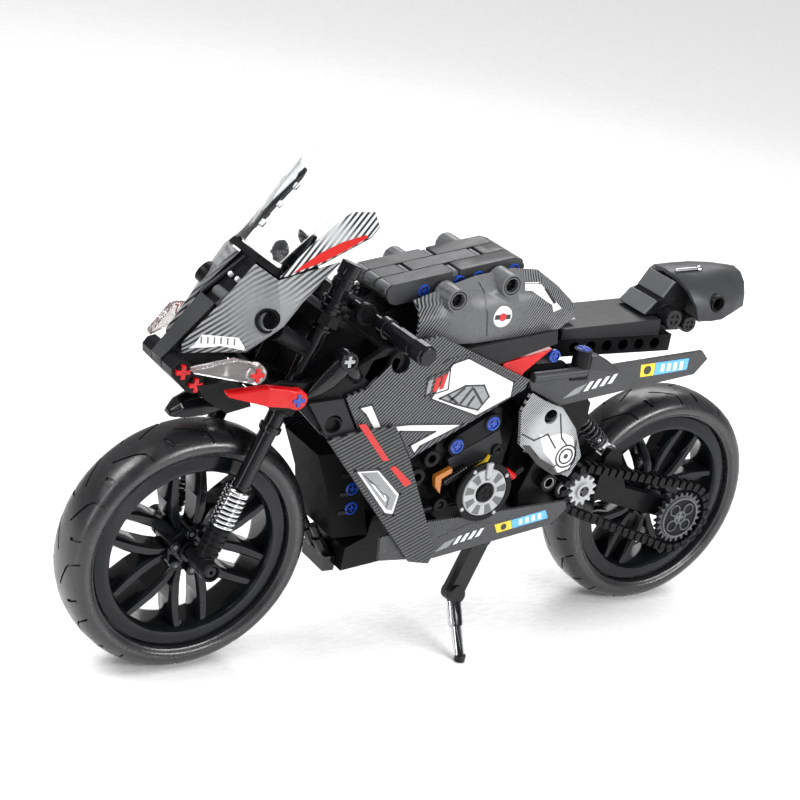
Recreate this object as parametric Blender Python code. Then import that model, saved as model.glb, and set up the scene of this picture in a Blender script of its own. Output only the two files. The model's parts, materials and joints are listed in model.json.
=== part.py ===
"""Brick-built sport motorcycle model, as separate named pieces.

Frame: +Z up, the front wheel towards -Y, the rider's left towards +X.
The origin is on the ground, midway between the two axles.
All numbers are millimetres; MM turns them into Blender's metres.
"""
import math

import bmesh
import bpy
from mathutils import Matrix, Vector

MM = 0.001

# ---------------------------------------------------------------- driving dimensions
WHEELBASE = 213.0
TYRE_R = 47.1
TYRE_HALF_W = 11.0
RIM_R = 37.3
RIM_BARREL_R = 31.2
RIM_HALF_W = 8.6
SPOKE_PAIRS = 6
WHEEL_SIDES = 36
RAKE = math.radians(20.5)
FORK_X = 16.0
STEM_BEHIND_FORK = 10.0
PIN_R = 2.3
BORE_GAP = 0.35
GAP = 0.3
PANEL_X = 26.3
PANEL_T = 1.7
LOWER_PANEL_X = PANEL_X + PANEL_T + GAP
SEAT_HALF_W = 12.0
LAMP = (-104.0, 124.6)
WINGLET = (-86.8, 114.4)
TANK_BUSHINGS = ((-23.0, 145.4), (-0.6, 150.4))
PIVOT = (52.0, 64.5)
ARM_X = (13.0, 18.0)
PLATE_X = (18.3, 20.5)
CHAIN_X = (20.9, 25.7)
REAR_TEETH = 24
DRIVE_TEETH = 12
REAR_SPROCKET_R = 11.3
DRIVE_SPROCKET_R = 6.6
CHAIN_T = 4.2
SHOCK_X = 15.4
SHOCK_TOP = (46.0, 96.0)
SHOCK_EYE = (68.0, 76.0)
STAND_PIVOT = (12.0, 45.6)
STAND_KNEE = (20.2, 2.6, 23.4)
STAND_FOOT = (32.3, 3.0, 0.0)

FRONT_Y = -WHEELBASE / 2
REAR_Y = WHEELBASE / 2
FORK_UP = Vector((0, math.sin(RAKE), math.cos(RAKE)))
FORK_BACK = Vector((0, math.cos(RAKE), -math.sin(RAKE)))
X_AXIS = Vector((1, 0, 0))

# Colours (linear RGB), roughness, metallic
FINISHES = {
    "black_plastic": ((0.012, 0.012, 0.014), 0.30, 0.0),
    "gloss_black": ((0.008, 0.008, 0.010), 0.12, 0.0),
    "carbon_print": ((0.060, 0.062, 0.068), 0.28, 0.0),
    "dark_grey": ((0.060, 0.066, 0.072), 0.35, 0.0),
    "silver_print": ((0.62, 0.63, 0.65), 0.30, 0.1),
    "red_plastic": ((0.75, 0.010, 0.012), 0.22, 0.0),
    "clear": ((0.85, 0.87, 0.90), 0.05, 0.0),
    "tyre": ((0.018, 0.018, 0.019), 0.62, 0.0),
    "chrome": ((0.72, 0.72, 0.73), 0.12, 1.0),
    "grey_metal": ((0.55, 0.55, 0.57), 0.30, 0.6),
}


def finish(key):
    """The shared material of that name, made on first use."""
    if key in bpy.data.materials:
        return bpy.data.materials[key]
    colour, roughness, metallic = FINISHES[key]
    material = bpy.data.materials.new(key)
    material.use_nodes = True
    shader = material.node_tree.nodes["Principled BSDF"]
    shader.inputs["Base Color"].default_value = (*colour, 1.0)
    shader.inputs["Roughness"].default_value = roughness
    shader.inputs["Metallic"].default_value = metallic
    if key == "clear":
        shader.inputs["Transmission Weight"].default_value = 0.9
    return material


# ---------------------------------------------------------------- shape helpers
def add_object(name, bm):
    """A mesh object from a bmesh in millimetres, with its faces pointing out."""
    bmesh.ops.recalc_face_normals(bm, faces=bm.faces)
    bmesh.ops.scale(bm, vec=(MM, MM, MM), verts=bm.verts)
    mesh = bpy.data.meshes.new(name)
    bm.to_mesh(mesh)
    bm.free()
    obj = bpy.data.objects.new(name, mesh)
    bpy.context.scene.collection.objects.link(obj)
    return obj


def prism(outline, x0, x1, name="prism"):
    """An outline of (y, z) points, extruded along X from x0 to x1."""
    bm = bmesh.new()
    near = [bm.verts.new((x0, y, z)) for y, z in outline]
    far = [bm.verts.new((x1, y, z)) for y, z in outline]
    bm.faces.new(near)
    bm.faces.new(far)
    count = len(outline)
    for i in range(count):
        j = (i + 1) % count
        bm.faces.new((near[i], near[j], far[j], far[i]))
    return add_object(name, bm)


def box(low, high):
    """A box between two corners."""
    outline = [(low[1], low[2]), (high[1], low[2]), (high[1], high[2]), (low[1], high[2])]
    return prism(outline, low[0], high[0], "box")


def rod(start, end, radius, sides=12, end_radius=None):
    """A cylinder, or a cone, between two points."""
    start, end = Vector(start), Vector(end)
    along = end - start
    bm = bmesh.new()
    bmesh.ops.create_cone(
        bm, cap_ends=True, segments=sides, radius1=radius,
        radius2=radius if end_radius is None else end_radius, depth=along.length)
    turn = along.to_track_quat("Z", "Y").to_matrix().to_4x4()
    bmesh.ops.transform(bm, matrix=Matrix.Translation((start + end) / 2) @ turn, verts=bm.verts)
    return add_object("rod", bm)


def turned(profile, origin, axis, sides, phase=0.0, closed=True):
    """A profile of (along, radius) points turned about an axis through origin."""
    axis = Vector(axis).normalized()
    side = axis.orthogonal().normalized() if abs(axis.x) < 0.99 else Vector((0, 1, 0))
    other = axis.cross(side)
    bm = bmesh.new()
    rings = []
    for along, radius in profile:
        centre = Vector(origin) + axis * along
        if radius < 1e-6:
            rings.append([bm.verts.new(centre)])
            continue
        angles = [phase + math.tau * i / sides for i in range(sides)]
        rings.append([bm.verts.new(centre + (side * math.cos(a) + other * math.sin(a)) * radius)
                      for a in angles])
    pairs = list(zip(rings, rings[1:]))
    if closed:
        pairs.append((rings[-1], rings[0]))
    for first, second in pairs:
        for i in range(sides):
            j = (i + 1) % sides
            if len(first) == 1 and len(second) == 1:
                break
            if len(first) == 1:
                bm.faces.new((first[0], second[i], second[j]))
            elif len(second) == 1:
                bm.faces.new((first[i], first[j], second[0]))
            else:
                bm.faces.new((first[i], first[j], second[j], second[i]))
    return add_object("turned", bm)


def sheet(points, faces, thickness):
    """A bent plate: a surface of flat faces, made solid to one side."""
    bm = bmesh.new()
    verts = [bm.verts.new(p) for p in points]
    for face in faces:
        bm.faces.new([verts[i] for i in face])
    bmesh.ops.triangulate(bm, faces=bm.faces)
    bm.normal_update()
    obj = add_object("sheet", bm)
    solid = obj.modifiers.new("thickness", "SOLIDIFY")
    solid.thickness = thickness * MM
    solid.offset = -1.0
    solid.use_even_offset = True
    return settle(obj)


def settle(obj):
    """Applies an object's modifiers to its mesh."""
    graph = bpy.context.evaluated_depsgraph_get()
    mesh = bpy.data.meshes.new_from_object(obj.evaluated_get(graph))
    obj.modifiers.clear()
    obj.data = mesh
    return obj


def combine(target, others, operation):
    """Joins the others to the target, or cuts them from it."""
    for other in others:
        step = target.modifiers.new(operation.lower(), "BOOLEAN")
        step.operation = operation
        step.object = other
        step.solver = "EXACT"
    settle(target)
    for other in others:
        bpy.data.objects.remove(other)
    return target


def join(first, *others):
    return combine(first, others, "UNION")


def cut(target, *cutters):
    return combine(target, cutters, "DIFFERENCE")


def mirrored(obj):
    """The same shape on the other side of the bike."""
    bm = bmesh.new()
    bm.from_mesh(obj.data)
    bmesh.ops.transform(bm, matrix=Matrix.Scale(-1, 4, X_AXIS), verts=bm.verts)
    bmesh.ops.scale(bm, vec=(1 / MM, 1 / MM, 1 / MM), verts=bm.verts)
    return add_object("mirrored", bm)


def node(name, obj, material, parent=None, smooth=True):
    """Names a finished piece, gives it its material and hangs it on its joint."""
    obj.name = name
    obj.data.name = name
    obj.data.materials.clear()
    obj.data.materials.append(finish(material))
    if smooth:
        obj.data.shade_smooth()
        obj.data.set_sharp_from_angle(angle=math.radians(32))
    if parent is not None:
        obj.data.transform(Matrix.Translation(-parent.location))
        obj.parent = parent
    return obj


def pair(name, obj, material, parent=None):
    """A left piece and its mirrored right twin."""
    other = mirrored(obj)
    node(name + "_left", obj, material, parent)
    node(name + "_right", other, material, parent)


def joint(name, x, y, z):
    """An empty on a joint's axis, the parent of what moves with it."""
    empty = bpy.data.objects.new(name, None)
    empty.location = (x * MM, y * MM, z * MM)
    empty.empty_display_size = 0.01
    bpy.context.scene.collection.objects.link(empty)
    bpy.context.view_layer.update()
    return empty


def fork_point(x, up, back=0.0):
    """A point given along the fork from the front axle, and behind the fork legs."""
    base = Vector((x, FRONT_Y, TYRE_R))
    return base + FORK_UP * up + FORK_BACK * back


def cross_tube(y, z, radius, x0, x1, sides=12):
    """A cylinder across the bike."""
    return rod((x0, y, z), (x1, y, z), radius, sides)


def arc(centre, radius, start, end, steps):
    """Points of a circular arc in the YZ plane, angles in degrees from +Y towards +Z."""
    angles = [math.radians(start + (end - start) * i / steps) for i in range(steps + 1)]
    return [(centre[0] + radius * math.cos(a), centre[1] + radius * math.sin(a)) for a in angles]


def helix(origin, axis, length, radius, wire, turns, steps, sides):
    """A coil spring's wire as one closed tube."""
    axis = Vector(axis).normalized()
    side = axis.orthogonal().normalized()
    other = axis.cross(side)
    total = turns * steps
    bm = bmesh.new()
    rings = []
    for i in range(total + 1):
        turn = math.tau * i / steps
        outward = side * math.cos(turn) + other * math.sin(turn)
        tangent = (other * math.cos(turn) - side * math.sin(turn)).normalized()
        centre = Vector(origin) + axis * (wire + (length - 2 * wire) * i / total) + outward * radius
        binormal = tangent.cross(outward)
        ring = []
        for k in range(sides):
            a = math.tau * k / sides
            ring.append(bm.verts.new(centre + (outward * math.cos(a) + binormal * math.sin(a)) * wire))
        rings.append(ring)
    for first, second in zip(rings, rings[1:]):
        for k in range(sides):
            m = (k + 1) % sides
            bm.faces.new((first[k], first[m], second[m], second[k]))
    bm.faces.new(rings[0])
    bm.faces.new(rings[-1])
    return add_object("helix", bm)


# ---------------------------------------------------------------- wheels
def tyre(y):
    """A solid tyre ring with a rounded crown and a narrow flat tread band."""
    bead_r = RIM_R + 0.5
    half = [(6.2, RIM_R - 1.3), (6.2, bead_r), (8.9, bead_r), (TYRE_HALF_W, 41.4), (8.6, 45.6), (4.0, TYRE_R)]
    profile = half + [(-x, r) for x, r in reversed(half)]
    sides = WHEEL_SIDES
    stretch = 1 / math.cos(math.pi / sides)
    profile = [(x, r * stretch) for x, r in profile]
    return turned(profile, (0, y, TYRE_R), X_AXIS, sides, math.pi / sides)


def rim(y, first_pair):
    """A rim with pairs of flat blade spokes and a pegged hub."""
    channel = RIM_R - 2.0
    half = [
        (RIM_HALF_W, RIM_BARREL_R + 1.0), (7.9, RIM_R), (6.8, RIM_R), (6.5, channel)]
    inner = [(7.2, RIM_BARREL_R), (-7.2, RIM_BARREL_R)]
    profile = half + [(-x, r) for x, r in reversed(half)] + inner[::-1]
    sides = WHEEL_SIDES
    wheel = turned(profile, (0, y, TYRE_R), X_AXIS, sides, math.pi / sides)
    pieces = [cross_tube(y, TYRE_R, 8.2, -5.6, 5.6, 18)]
    for k in range(SPOKE_PAIRS):
        angle = first_pair + math.tau * k / SPOKE_PAIRS
        out = Vector((0, math.cos(angle), math.sin(angle)))
        across = Vector((0, -math.sin(angle), math.cos(angle)))
        centre = Vector((0, y, TYRE_R))
        for side in (-1, 1):
            pieces.append(spoke(centre, out, across, side))
        peg = centre + out * 6.0
        pieces.append(cross_tube(peg.y, peg.z, 1.9, -8.0, 8.0, 8))
    join(wheel, *pieces)
    return cut(wheel, cross_tube(y, TYRE_R, PIN_R + BORE_GAP, -12, 12, 12))


def spoke(centre, out, across, side):
    """One blade of a spoke pair, wider and further from its twin at the rim."""
    stations = [(6.5, 3.0, 1.5, 4.4), (20.0, 5.2, 2.2, 5.6), (RIM_BARREL_R + 0.8, 5.4, 1.7, 6.4)]
    bm = bmesh.new()
    rings = []
    for radius, offset, half_thick, half_wide in stations:
        middle = centre + out * radius + across * offset * side
        ring = []
        for a, b in ((-1, -1), (1, -1), (1, 1), (-1, 1)):
            ring.append(bm.verts.new(middle + across * half_thick * a + X_AXIS * half_wide * b))
        rings.append(ring)
    for first, second in zip(rings, rings[1:]):
        for k in range(4):
            m = (k + 1) % 4
            bm.faces.new((first[k], first[m], second[m], second[k]))
    bm.faces.new(rings[0])
    bm.faces.new(rings[-1])
    return add_object("spoke", bm)


def gear(y, z, tip_r, teeth, x0, x1):
    """A spur sprocket as a toothed outline."""
    root_r = tip_r - 1.5
    outline = []
    for k in range(teeth):
        for share, radius in ((0.0, root_r), (0.28, root_r), (0.42, tip_r), (0.86, tip_r)):
            a = math.tau * (k + share) / teeth
            outline.append((y + radius * math.cos(a), z + radius * math.sin(a)))
    return prism(outline, x0, x1, "gear")


# ---------------------------------------------------------------- fork and steering
def fork_lower():
    """Left fork slider: axle boss, ribbed leg and the rod that runs up into the tube."""
    ribs = [(2.5, 0.0), (2.5, 3.6)]
    for k in range(2):
        ribs += [(4.4 + 4.6 * k, 4.1), (6.8 + 4.6 * k, 4.1), (7.0 + 4.6 * k, 3.5), (8.8 + 4.6 * k, 3.5)]
    ribs += [(13.6, 4.3), (14.6, 4.3), (14.6, 1.6), (44.0, 1.6), (44.0, 0.0)]
    leg = turned(ribs, fork_point(FORK_X, 0), FORK_UP, 12, closed=False)
    boss = cross_tube(FRONT_Y, TYRE_R, 3.7, 12.4, 24.0, 14)
    join(leg, boss)
    return cut(leg, cross_tube(FRONT_Y, TYRE_R, PIN_R + BORE_GAP, 11, 26, 12))


def fork_tube():
    """Left fork tube with its collar, open at the bottom for the slider's rod."""
    profile = [
        (30.0, 3.3), (53.5, 3.3), (53.6, 4.1), (55.4, 4.1), (55.5, 3.3), (113.0, 3.3), (113.1, 3.9),
        (118.4, 3.9), (118.5, 0.0), (58.0, 0.0), (58.0, 1.95), (30.0, 1.95)]
    return turned(profile, fork_point(FORK_X, 0), FORK_UP, 12)


def fork_plate(low, high, outline):
    """A yoke: an outline of (x, back) points, extruded along the fork."""
    bm = bmesh.new()
    rings = []
    for up in (low, high):
        rings.append([bm.verts.new(fork_point(x, up, back)) for x, back in outline])
    bm.faces.new(rings[0])
    bm.faces.new(rings[1])
    count = len(outline)
    for i in range(count):
        j = (i + 1) % count
        bm.faces.new((rings[0][i], rings[0][j], rings[1][j], rings[1][i]))
    return add_object("yoke", bm)


def steering_yokes():
    """Lower and upper yokes with the stem between them."""
    outline = [
        (-20.5, -1.0), (-18.6, -4.2), (-15.0, -5.0), (15.0, -5.0), (18.6, -4.2), (20.5, -1.0),
        (20.5, 3.0), (6.0, 14.5), (-6.0, 14.5), (-20.5, 3.0)]
    stem = rod(fork_point(0, 62.5, STEM_BEHIND_FORK), fork_point(0, 98, STEM_BEHIND_FORK), PIN_R, 14)
    join(stem, fork_plate(61.5, 69.0, outline), fork_plate(95.3, 99.4, outline))
    bores = [rod(fork_point(x, 55), fork_point(x, 105), 3.3 + BORE_GAP, 16) for x in (-FORK_X, FORK_X)]
    return cut(stem, *bores)


def handlebar():
    """Clip-on bars on a riser block behind the stem."""
    riser = fork_plate(99.8, 107.0, [(-7, 6), (7, 6), (7, 18.5), (-7, 18.5)])
    parts = []
    for side in (-1, 1):
        inner = fork_point(side * 4, 104.0, 14.5)
        neck = fork_point(side * 28, 104.0, 16.0)
        end = fork_point(side * 54, 103.8, 17.6)
        parts.append(rod(inner, neck + (end - neck) * 0.1, 2.2, 12))
        parts.append(rod(neck, end, 3.2, 12))
    return join(riser, *parts)


# ---------------------------------------------------------------- main frame
def plate_pair(outline, x0, x1):
    """Two equal plates, left and right."""
    return [prism(outline, x0, x1), prism(outline, -x1, -x0)]


def main_frame():
    """Spine, steering head, downtube, lower rail, side plates and the nose arms."""
    spine = prism([
        (-52, 108), (-46, 133), (-37, 139), (8, 147.2), (24, 132), (34, 122.8), (92, 122.8),
        (92, 115.8), (36, 115.8), (30, 108)], -8, 8)
    head = fork_plate(71.5, 94.5, [(-7, 5), (7, 5), (7, 34), (-7, 34)])
    rail = box((-11, 34, 115.8), (11, 92, 122.8))
    downtube = prism([(-52, 110), (-42, 110), (-28, 56), (-36, 50)], -6, 6)
    lower = prism([
        (-45.2, 34.2), (-44.8, 43.6), (-36.2, 47.6), (-35, 56), (36, 57.5), (44, 52), (30, 46), (-4, 40.4),
        (-20, 37.4)], -12, 12)
    block = box((-20.5, 13, 106), (20.5, 31, 118))
    rear_block = prism([(24, 107), (34, 107), (43, 88), (46.3, 76), (45, 57), (24, 57)], -11, 11)
    pieces = [head, rail, downtube, lower, block, rear_block]
    pieces += plate_pair([
        (12, 118), (33, 118), (50, 100), (50, 92), (43, 84), (49, 76), (58, 68), (58, 60), (50, 55.5),
        (27, 51), (24, 64), (32, 86), (14, 104)], *PLATE_X)
    arm = [
        (-43, 129), (-41, 119), (-60, 98), (-72, 98), (-83, 108.6), (-94, 109.4), (-97.5, 112),
        (-97, 117.2), (-91, 119.4), (-82, 118.6), (-66, 121), (-52, 130)]
    pieces += plate_pair(arm, 23.6, 26.0)
    pieces.append(cross_tube(-46, 124.5, 3.0, -25.8, 25.8))
    pieces.append(cross_tube(-8, 50, 3.0, -26.0, 26.0))
    pieces.append(cross_tube(31, 54.5, 3.0, -26.0, 26.0))
    pieces.append(cross_tube(PIVOT[0], PIVOT[1], PIN_R, -20.3, 20.3, 14))
    pieces.append(cross_tube(SHOCK_TOP[0], SHOCK_TOP[1], 1.9, 12.4, 19.0, 10))
    pieces.append(prism([(6.5, 41), (6.5, 56), (17.5, 56), (17.5, 43)], 8.0, 15.4))
    pieces.append(cross_tube(STAND_PIVOT[0], STAND_PIVOT[1], 1.9, 10.0, 21.6, 10))
    join(spine, *pieces)
    stem_hole = rod(fork_point(0, 60, STEM_BEHIND_FORK), fork_point(0, 97, STEM_BEHIND_FORK),
                    PIN_R + BORE_GAP, 16)
    holes = [cross_tube(44 + 8 * k, 119.3, 2.4, -13, 13, 10) for k in range(6)]
    return cut(spine, stem_hole, *holes)


def front_block():
    """The stepped block of bricks behind the front wheel."""
    return prism([(-64, 84), (-46, 84), (-36.8, 49), (-52, 49), (-55, 58), (-57, 68)], -13, 13)


def front_guard():
    """Two thin bars from the front block down to the belly's nose."""
    parts = []
    for x in (-4, 4):
        parts.append(rod((x, -55.4, 50.6), (x, -48.2, 38.0), 1.6, 8))
        parts.append(rod((x, -52.8, 45.4), (x, -48.4, 38.2), 2.3, 8))
    foot = box((-8.0, -50.5, 32.5), (8.0, -45.6, 38.5))
    return join(foot, *parts)


def engine():
    """Engine core: crankcase, leaning cylinder block and shaft stubs."""
    case = prism([(-27, 59), (-33, 88), (-30, 104), (11, 104), (22, 92), (18, 62), (14, 59)], -13, 13)
    parts = [cross_tube(0.5, 71, 9.0, -22, 22, 16), cross_tube(0.5, 71, 2.3, -27.9, 27.9, 12)]
    parts.append(prism([(-20, 84), (-14.5, 78.6), (9, 92), (8, 101), (0, 104), (-17, 95)], -20.9, 20.9))
    parts.append(cross_tube(-22, 66, 5.5, -18, 18, 12))
    return join(case, *parts)


def clutch_disc():
    """Round crankcase cover with a raised dial and hub."""
    profile = [
        (0.0, 12.2), (1.0, 12.2), (1.4, 11.7), (1.4, 9.0), (1.8, 8.8), (1.8, 4.2), (2.6, 3.9),
        (2.6, 0.0), (0.0, 0.0)]
    return turned(profile, (LOWER_PANEL_X, 0.5, 71.0), X_AXIS, 24)


# ---------------------------------------------------------------- side panels
def side_panel(outline, x0, thickness=PANEL_T, holes=()):
    """A flat side panel with round holes of (y, z, radius)."""
    panel = prism(outline, x0, x0 + thickness)
    if holes:
        cutters = [cross_tube(y, z, r, x0 - 5, x0 + thickness + 5, 16) for y, z, r in holes]
        cut(panel, *cutters)
    return panel


def side_panels():
    upper = [
        (-66.4, 113.1), (-57.7, 116.1), (-49.0, 126.3), (-39.6, 132.3), (-31.4, 134.3), (12.0, 115.1),
        (10.6, 111.4), (-9.0, 100.7), (-34.6, 87.0), (-43.2, 100.9), (-58.7, 99.9)]
    pair("fairing_upper", side_panel(upper, PANEL_X, holes=[(-46.1, 124.7, 3.8)]), "carbon_print")
    lower = [
        (-72.0, 98.0), (-60.7, 100.2), (-44.6, 101.5), (-36.1, 88.0), (-16.9, 48.2), (-19.0, 43.4),
        (-28.1, 45.2)]
    pair("fairing_lower", side_panel(lower, LOWER_PANEL_X), "carbon_print")
    tile = [(-81.0, 111.8), (-67.2, 112.7), (-59.6, 99.4), (-70.8, 97.4)]
    pair("fairing_tile", side_panel(tile, PANEL_X, holes=[(-69.6, 103.2, 3.4)]), "dark_grey")
    belly = [
        (-41.3, 55.8), (-21.0, 60.0), (42.0, 62.4), (43.4, 59.3), (36.9, 52.6), (-15.4, 44.3), (-40.2, 46.0)]
    pair("belly_panel", side_panel(belly, PANEL_X), "carbon_print")
    cover = [
        (14.6, 109.7), (22.1, 105.6), (30.6, 102.5), (39.1, 93.2), (44.6, 81.4), (40.5, 72.9),
        (30.4, 76.8), (14.0, 88.2), (11.4, 102.3)]
    pair("pivot_cover", side_panel(cover, PANEL_X, holes=[(25.8, 99.2, 3.0)]), "silver_print")
    tail = [
        (15.0, 113.2), (36.3, 115.6), (98.0, 120.6), (101.7, 117.0), (96.3, 110.6), (32.3, 101.5),
        (16.9, 109.0)]
    pair("tail_panel", side_panel(tail, 22.3), "carbon_print")
    beam = [(-17.0, 127.8), (22.1, 133.4), (23.3, 128.0), (-8.1, 119.3), (-16.0, 119.5)]
    pair("side_beam", side_panel(beam, 24.2), "dark_grey")
    head_tile = [(-14.9, 83.2), (6.3, 93.6), (8.8, 88.4), (7.2, 85.0), (-11.7, 76.6)]
    pair("engine_tile", side_panel(head_tile, 21.2, 2.8), "dark_grey")


# ---------------------------------------------------------------- nose and screen
def nose_cowl():
    """Left nose panel: a flat inner facet, a turned outer facet and the screen cheek."""
    points = [
        (6.5, -96.8, 154.7), (7.6, -109.4, 140.8), (5.2, -119.8, 127.3), (5.2, -119.4, 123.7),
        (22.0, -105.0, 129.4), (26.0, -98.2, 137.2), (27.5, -95.3, 140.5), (28.0, -89.7, 149.0),
        (18.0, -93.6, 152.8), (25.4, -76.0, 161.6)]
    faces = [(0, 1, 2, 3, 4, 8), (8, 4, 5, 6, 7), (8, 7, 9)]
    cowl = sheet(points, faces, -1.7)
    hole = Vector((24.6, -99.6, 142.6))
    inwards = Vector((-0.45, 0.72, -0.52))
    return cut(cowl, rod(hole - inwards * 8, hole + inwards * 8, 3.4, 16))


def nose_bridge():
    """Central nose: grey band, recessed window, top bar, chin lip and cross axles."""
    band = slab([(-3.8, -126.6, 120.8), (3.8, -126.6, 120.8), (5.6, -109.9, 140.9), (-5.6, -109.9, 140.9)],
                (0, 2.6, -1.8))
    window = slab([(-5.8, -109.6, 138.2), (5.8, -109.6, 138.2), (5.8, -94.6, 153.0), (-5.8, -94.6, 153.0)],
                  (0, 1.6, -1.6))
    bar = slab([(-16.2, -96.2, 155.3), (16.2, -96.2, 155.3), (16.2, -94.2, 157.2), (-16.2, -94.2, 157.2)],
               (0, 1.8, -1.3))
    post = slab([(-3, -96.5, 150), (3, -96.5, 150), (3, -94.6, 157), (-3, -94.6, 157)], (0, 2.5, -1.5))
    lip = [
        (-119.8, 111.7), (-117.2, 110.9), (-114.8, 111.6), (-113.4, 113.6), (-113.8, 116.6), (-119.2, 121.6),
        (-122.0, 123.4), (-124.8, 122.8), (-126.4, 120.4), (-126.0, 117.6)]
    lips = [prism(lip, x, x + 7.6) for x in (-11.8, -3.8, 4.2)]
    axle_front = cross_tube(-122.4, 119.4, 2.4, -12.8, 12.8, 12)
    axle_rear = cross_tube(-117.0, 114.4, 2.4, -12.8, 12.8, 12)
    lamp_axle = cross_tube(LAMP[0], LAMP[1], 1.9, -25.9, 25.9, 10)
    step = box((-4, -121, 114), (4, -101.5, 127))
    jaw = [(-117.0, 114.4), (-113.0, 109.0), (-104.0, 103.4), (-95.0, 105.4), (-97.0, 112.0), (-104.0, 115.4)]
    jaws = plate_pair(jaw, 10.2, 13.6)
    return join(band, window, bar, post, *lips, axle_front, axle_rear, lamp_axle, step, *jaws)


def slab(corners, depth):
    """A flat polygon pushed along a vector."""
    bm = bmesh.new()
    front = [bm.verts.new(c) for c in corners]
    back = [bm.verts.new(Vector(c) + Vector(depth)) for c in corners]
    bm.faces.new(front)
    bm.faces.new(back)
    count = len(corners)
    for i in range(count):
        j = (i + 1) % count
        bm.faces.new((front[i], front[j], back[j], back[i]))
    return add_object("slab", bm)


def windscreen():
    """A clear bubble: a grid bent round the nose and closed to an arch at the top."""
    rows, columns = 6, 8
    points = []
    for r in range(rows + 1):
        v = r / rows
        for c in range(columns + 1):
            u = 2 * c / columns - 1
            top_z = 194.0 - 16.0 * u * u
            bulge = 2.5 * math.sin(math.pi * v) * (1 - 0.6 * u * u)
            y = -96.0 + 20.0 * v + 2.6 * u * u - bulge
            points.append(((15.2 + 3.0 * v) * u, y, 158.4 + (top_z - 158.4) * v))
    faces = []
    for r in range(rows):
        for c in range(columns):
            a = r * (columns + 1) + c
            faces.append((a, a + 1, a + columns + 2, a + columns + 1))
    return sheet(points, faces, 1.0)


def windscreen_plate():
    """Left screen side plate."""
    across = Vector((0.670, -0.590, 0.452))
    corner = Vector((17.4, -94.0, 154.0))
    outline = [(-94.0, 154.0), (-84.2, 165.6), (-75.4, 174.8), (-71.7, 178.2), (-65.6, 179.6),
               (-65.0, 175.6), (-67.8, 171.8), (-74.5, 166.6), (-81.8, 161.0), (-91.0, 155.2)]
    corners = []
    for y, z in outline:
        x = corner.x - (across.y * (y - corner.y) + across.z * (z - corner.z)) / across.x
        corners.append((x, y, z))
    return slab(corners, across * -1.5)


def fin(boss, bend, blade, lean, x0, x1):
    """A tapered fin on a round boss; in front of the bend it leans inwards."""
    y, z = boss
    front = prism([(bend, blade[0]), *blade[1:-1], (bend, blade[-1])], x0 + 0.2, x1 - 0.4)
    for vertex in front.data.vertices:
        vertex.co.x += lean * (vertex.co.y - bend * MM)
    neck = prism([(bend - 0.3, blade[0]), (y, z - 3.2), (y, z + 3.4), (bend - 0.3, blade[-1])],
                 x0 + 0.2, x1 - 0.4)
    return join(front, neck, cross_tube(y, z, 3.7, x0, x1, 14))


def chin_beak():
    """Pointed mudguard tip under the nose, a keel that widens to the rear."""
    sections = [
        (-119.8, 2.4, 98.2, 100.2), (-116.0, 5.0, 98.6, 103.6), (-109.5, 7.4, 100.0, 105.4),
        (-98.0, 7.4, 102.6, 105.2)]
    bm = bmesh.new()
    rings = []
    for y, half, low, high in sections:
        corners = ((-half, low), (half, low), (half, high - 1.4), (half * 0.5, high), (-half * 0.5, high),
                   (-half, high - 1.4))
        rings.append([bm.verts.new((x, y, z)) for x, z in corners])
    for front, back in zip(rings, rings[1:]):
        for i in range(6):
            bm.faces.new((front[i], front[(i + 1) % 6], back[(i + 1) % 6], back[i]))
    bm.faces.new(rings[0])
    bm.faces.new(rings[-1])
    return add_object("beak", bm)


def tank_top():
    """Flat beams over the tank with four round bushings at the sides."""
    deck = prism([
        (-44.5, 141.0), (-46.0, 143.2), (-46.2, 146.0), (-44.4, 147.9), (6.5, 157.2), (10.0, 156.4),
        (11.6, 153.6), (10.8, 150.4), (8.4, 149.0), (-42.0, 140.2)], -SEAT_HALF_W, SEAT_HALF_W)
    slots = []
    for x in (-4.0, 4.0):
        slots.append(slab([(x - 0.25, -48, 145.9), (x + 0.25, -48, 145.9), (x + 0.25, 14, 157.2),
                           (x - 0.25, 14, 157.2)], (0, -2, 8)))
    for x0, x1, y in ((-13, -4, -18), (-4, 4, -33), (4, 13, -18), (-4, 4, -3)):
        z = 147.4 + (y + 44.4) * 0.183
        slots.append(box((x0 + 0.1, y - 1.6, z - 2.4), (x1 - 0.1, y + 1.6, z + 5)))
    return cut(deck, *slots)


def tank_side():
    """Left tank panel, bowed out from the top beams down to the knee."""
    columns = [
        (-37.0, ((15.6, 143.4), (19.6, 141.8), (21.6, 137.6), (22.0, 131.6))),
        (-24.0, ((15.2, 147.8), (20.4, 144.6), (22.8, 138.6), (22.8, 128.6))),
        (-12.0, ((14.8, 151.6), (20.8, 147.4), (23.4, 140.4), (23.4, 129.0))),
        (4.0, ((14.6, 154.2), (20.6, 150.2), (23.4, 142.4), (23.4, 130.4))),
        (16.0, ((14.4, 153.2), (20.0, 149.8), (23.0, 142.6), (23.4, 131.6))),
        (25.0, ((16.4, 147.6), (20.0, 145.8), (22.2, 140.8), (22.8, 132.6))),
        (31.5, ((18.6, 142.0), (20.0, 141.4), (21.4, 139.6), (21.8, 136.6)))]
    points = []
    for y, section in columns:
        points += [(x, y, z) for x, z in section]
    faces = []
    for c in range(len(columns) - 1):
        for k in range(3):
            a = 4 * c + k
            faces.append((a, a + 1, a + 5, a + 4))
    panel = sheet(points, faces, 1.4)
    join(panel, *[cross_tube(y, z, 4.4, 13.6, 22.9, 14) for y, z in TANK_BUSHINGS])
    return cut(panel, *[cross_tube(y, z, 2.7, 12.5, 30, 12) for y, z in TANK_BUSHINGS])


def seat():
    return prism([(36.0, 123.2), (36.0, 126.9), (37.0, 127.6), (83.6, 129.8), (84.0, 129.2), (84.0, 123.2)],
                 -SEAT_HALF_W, SEAT_HALF_W)


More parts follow.
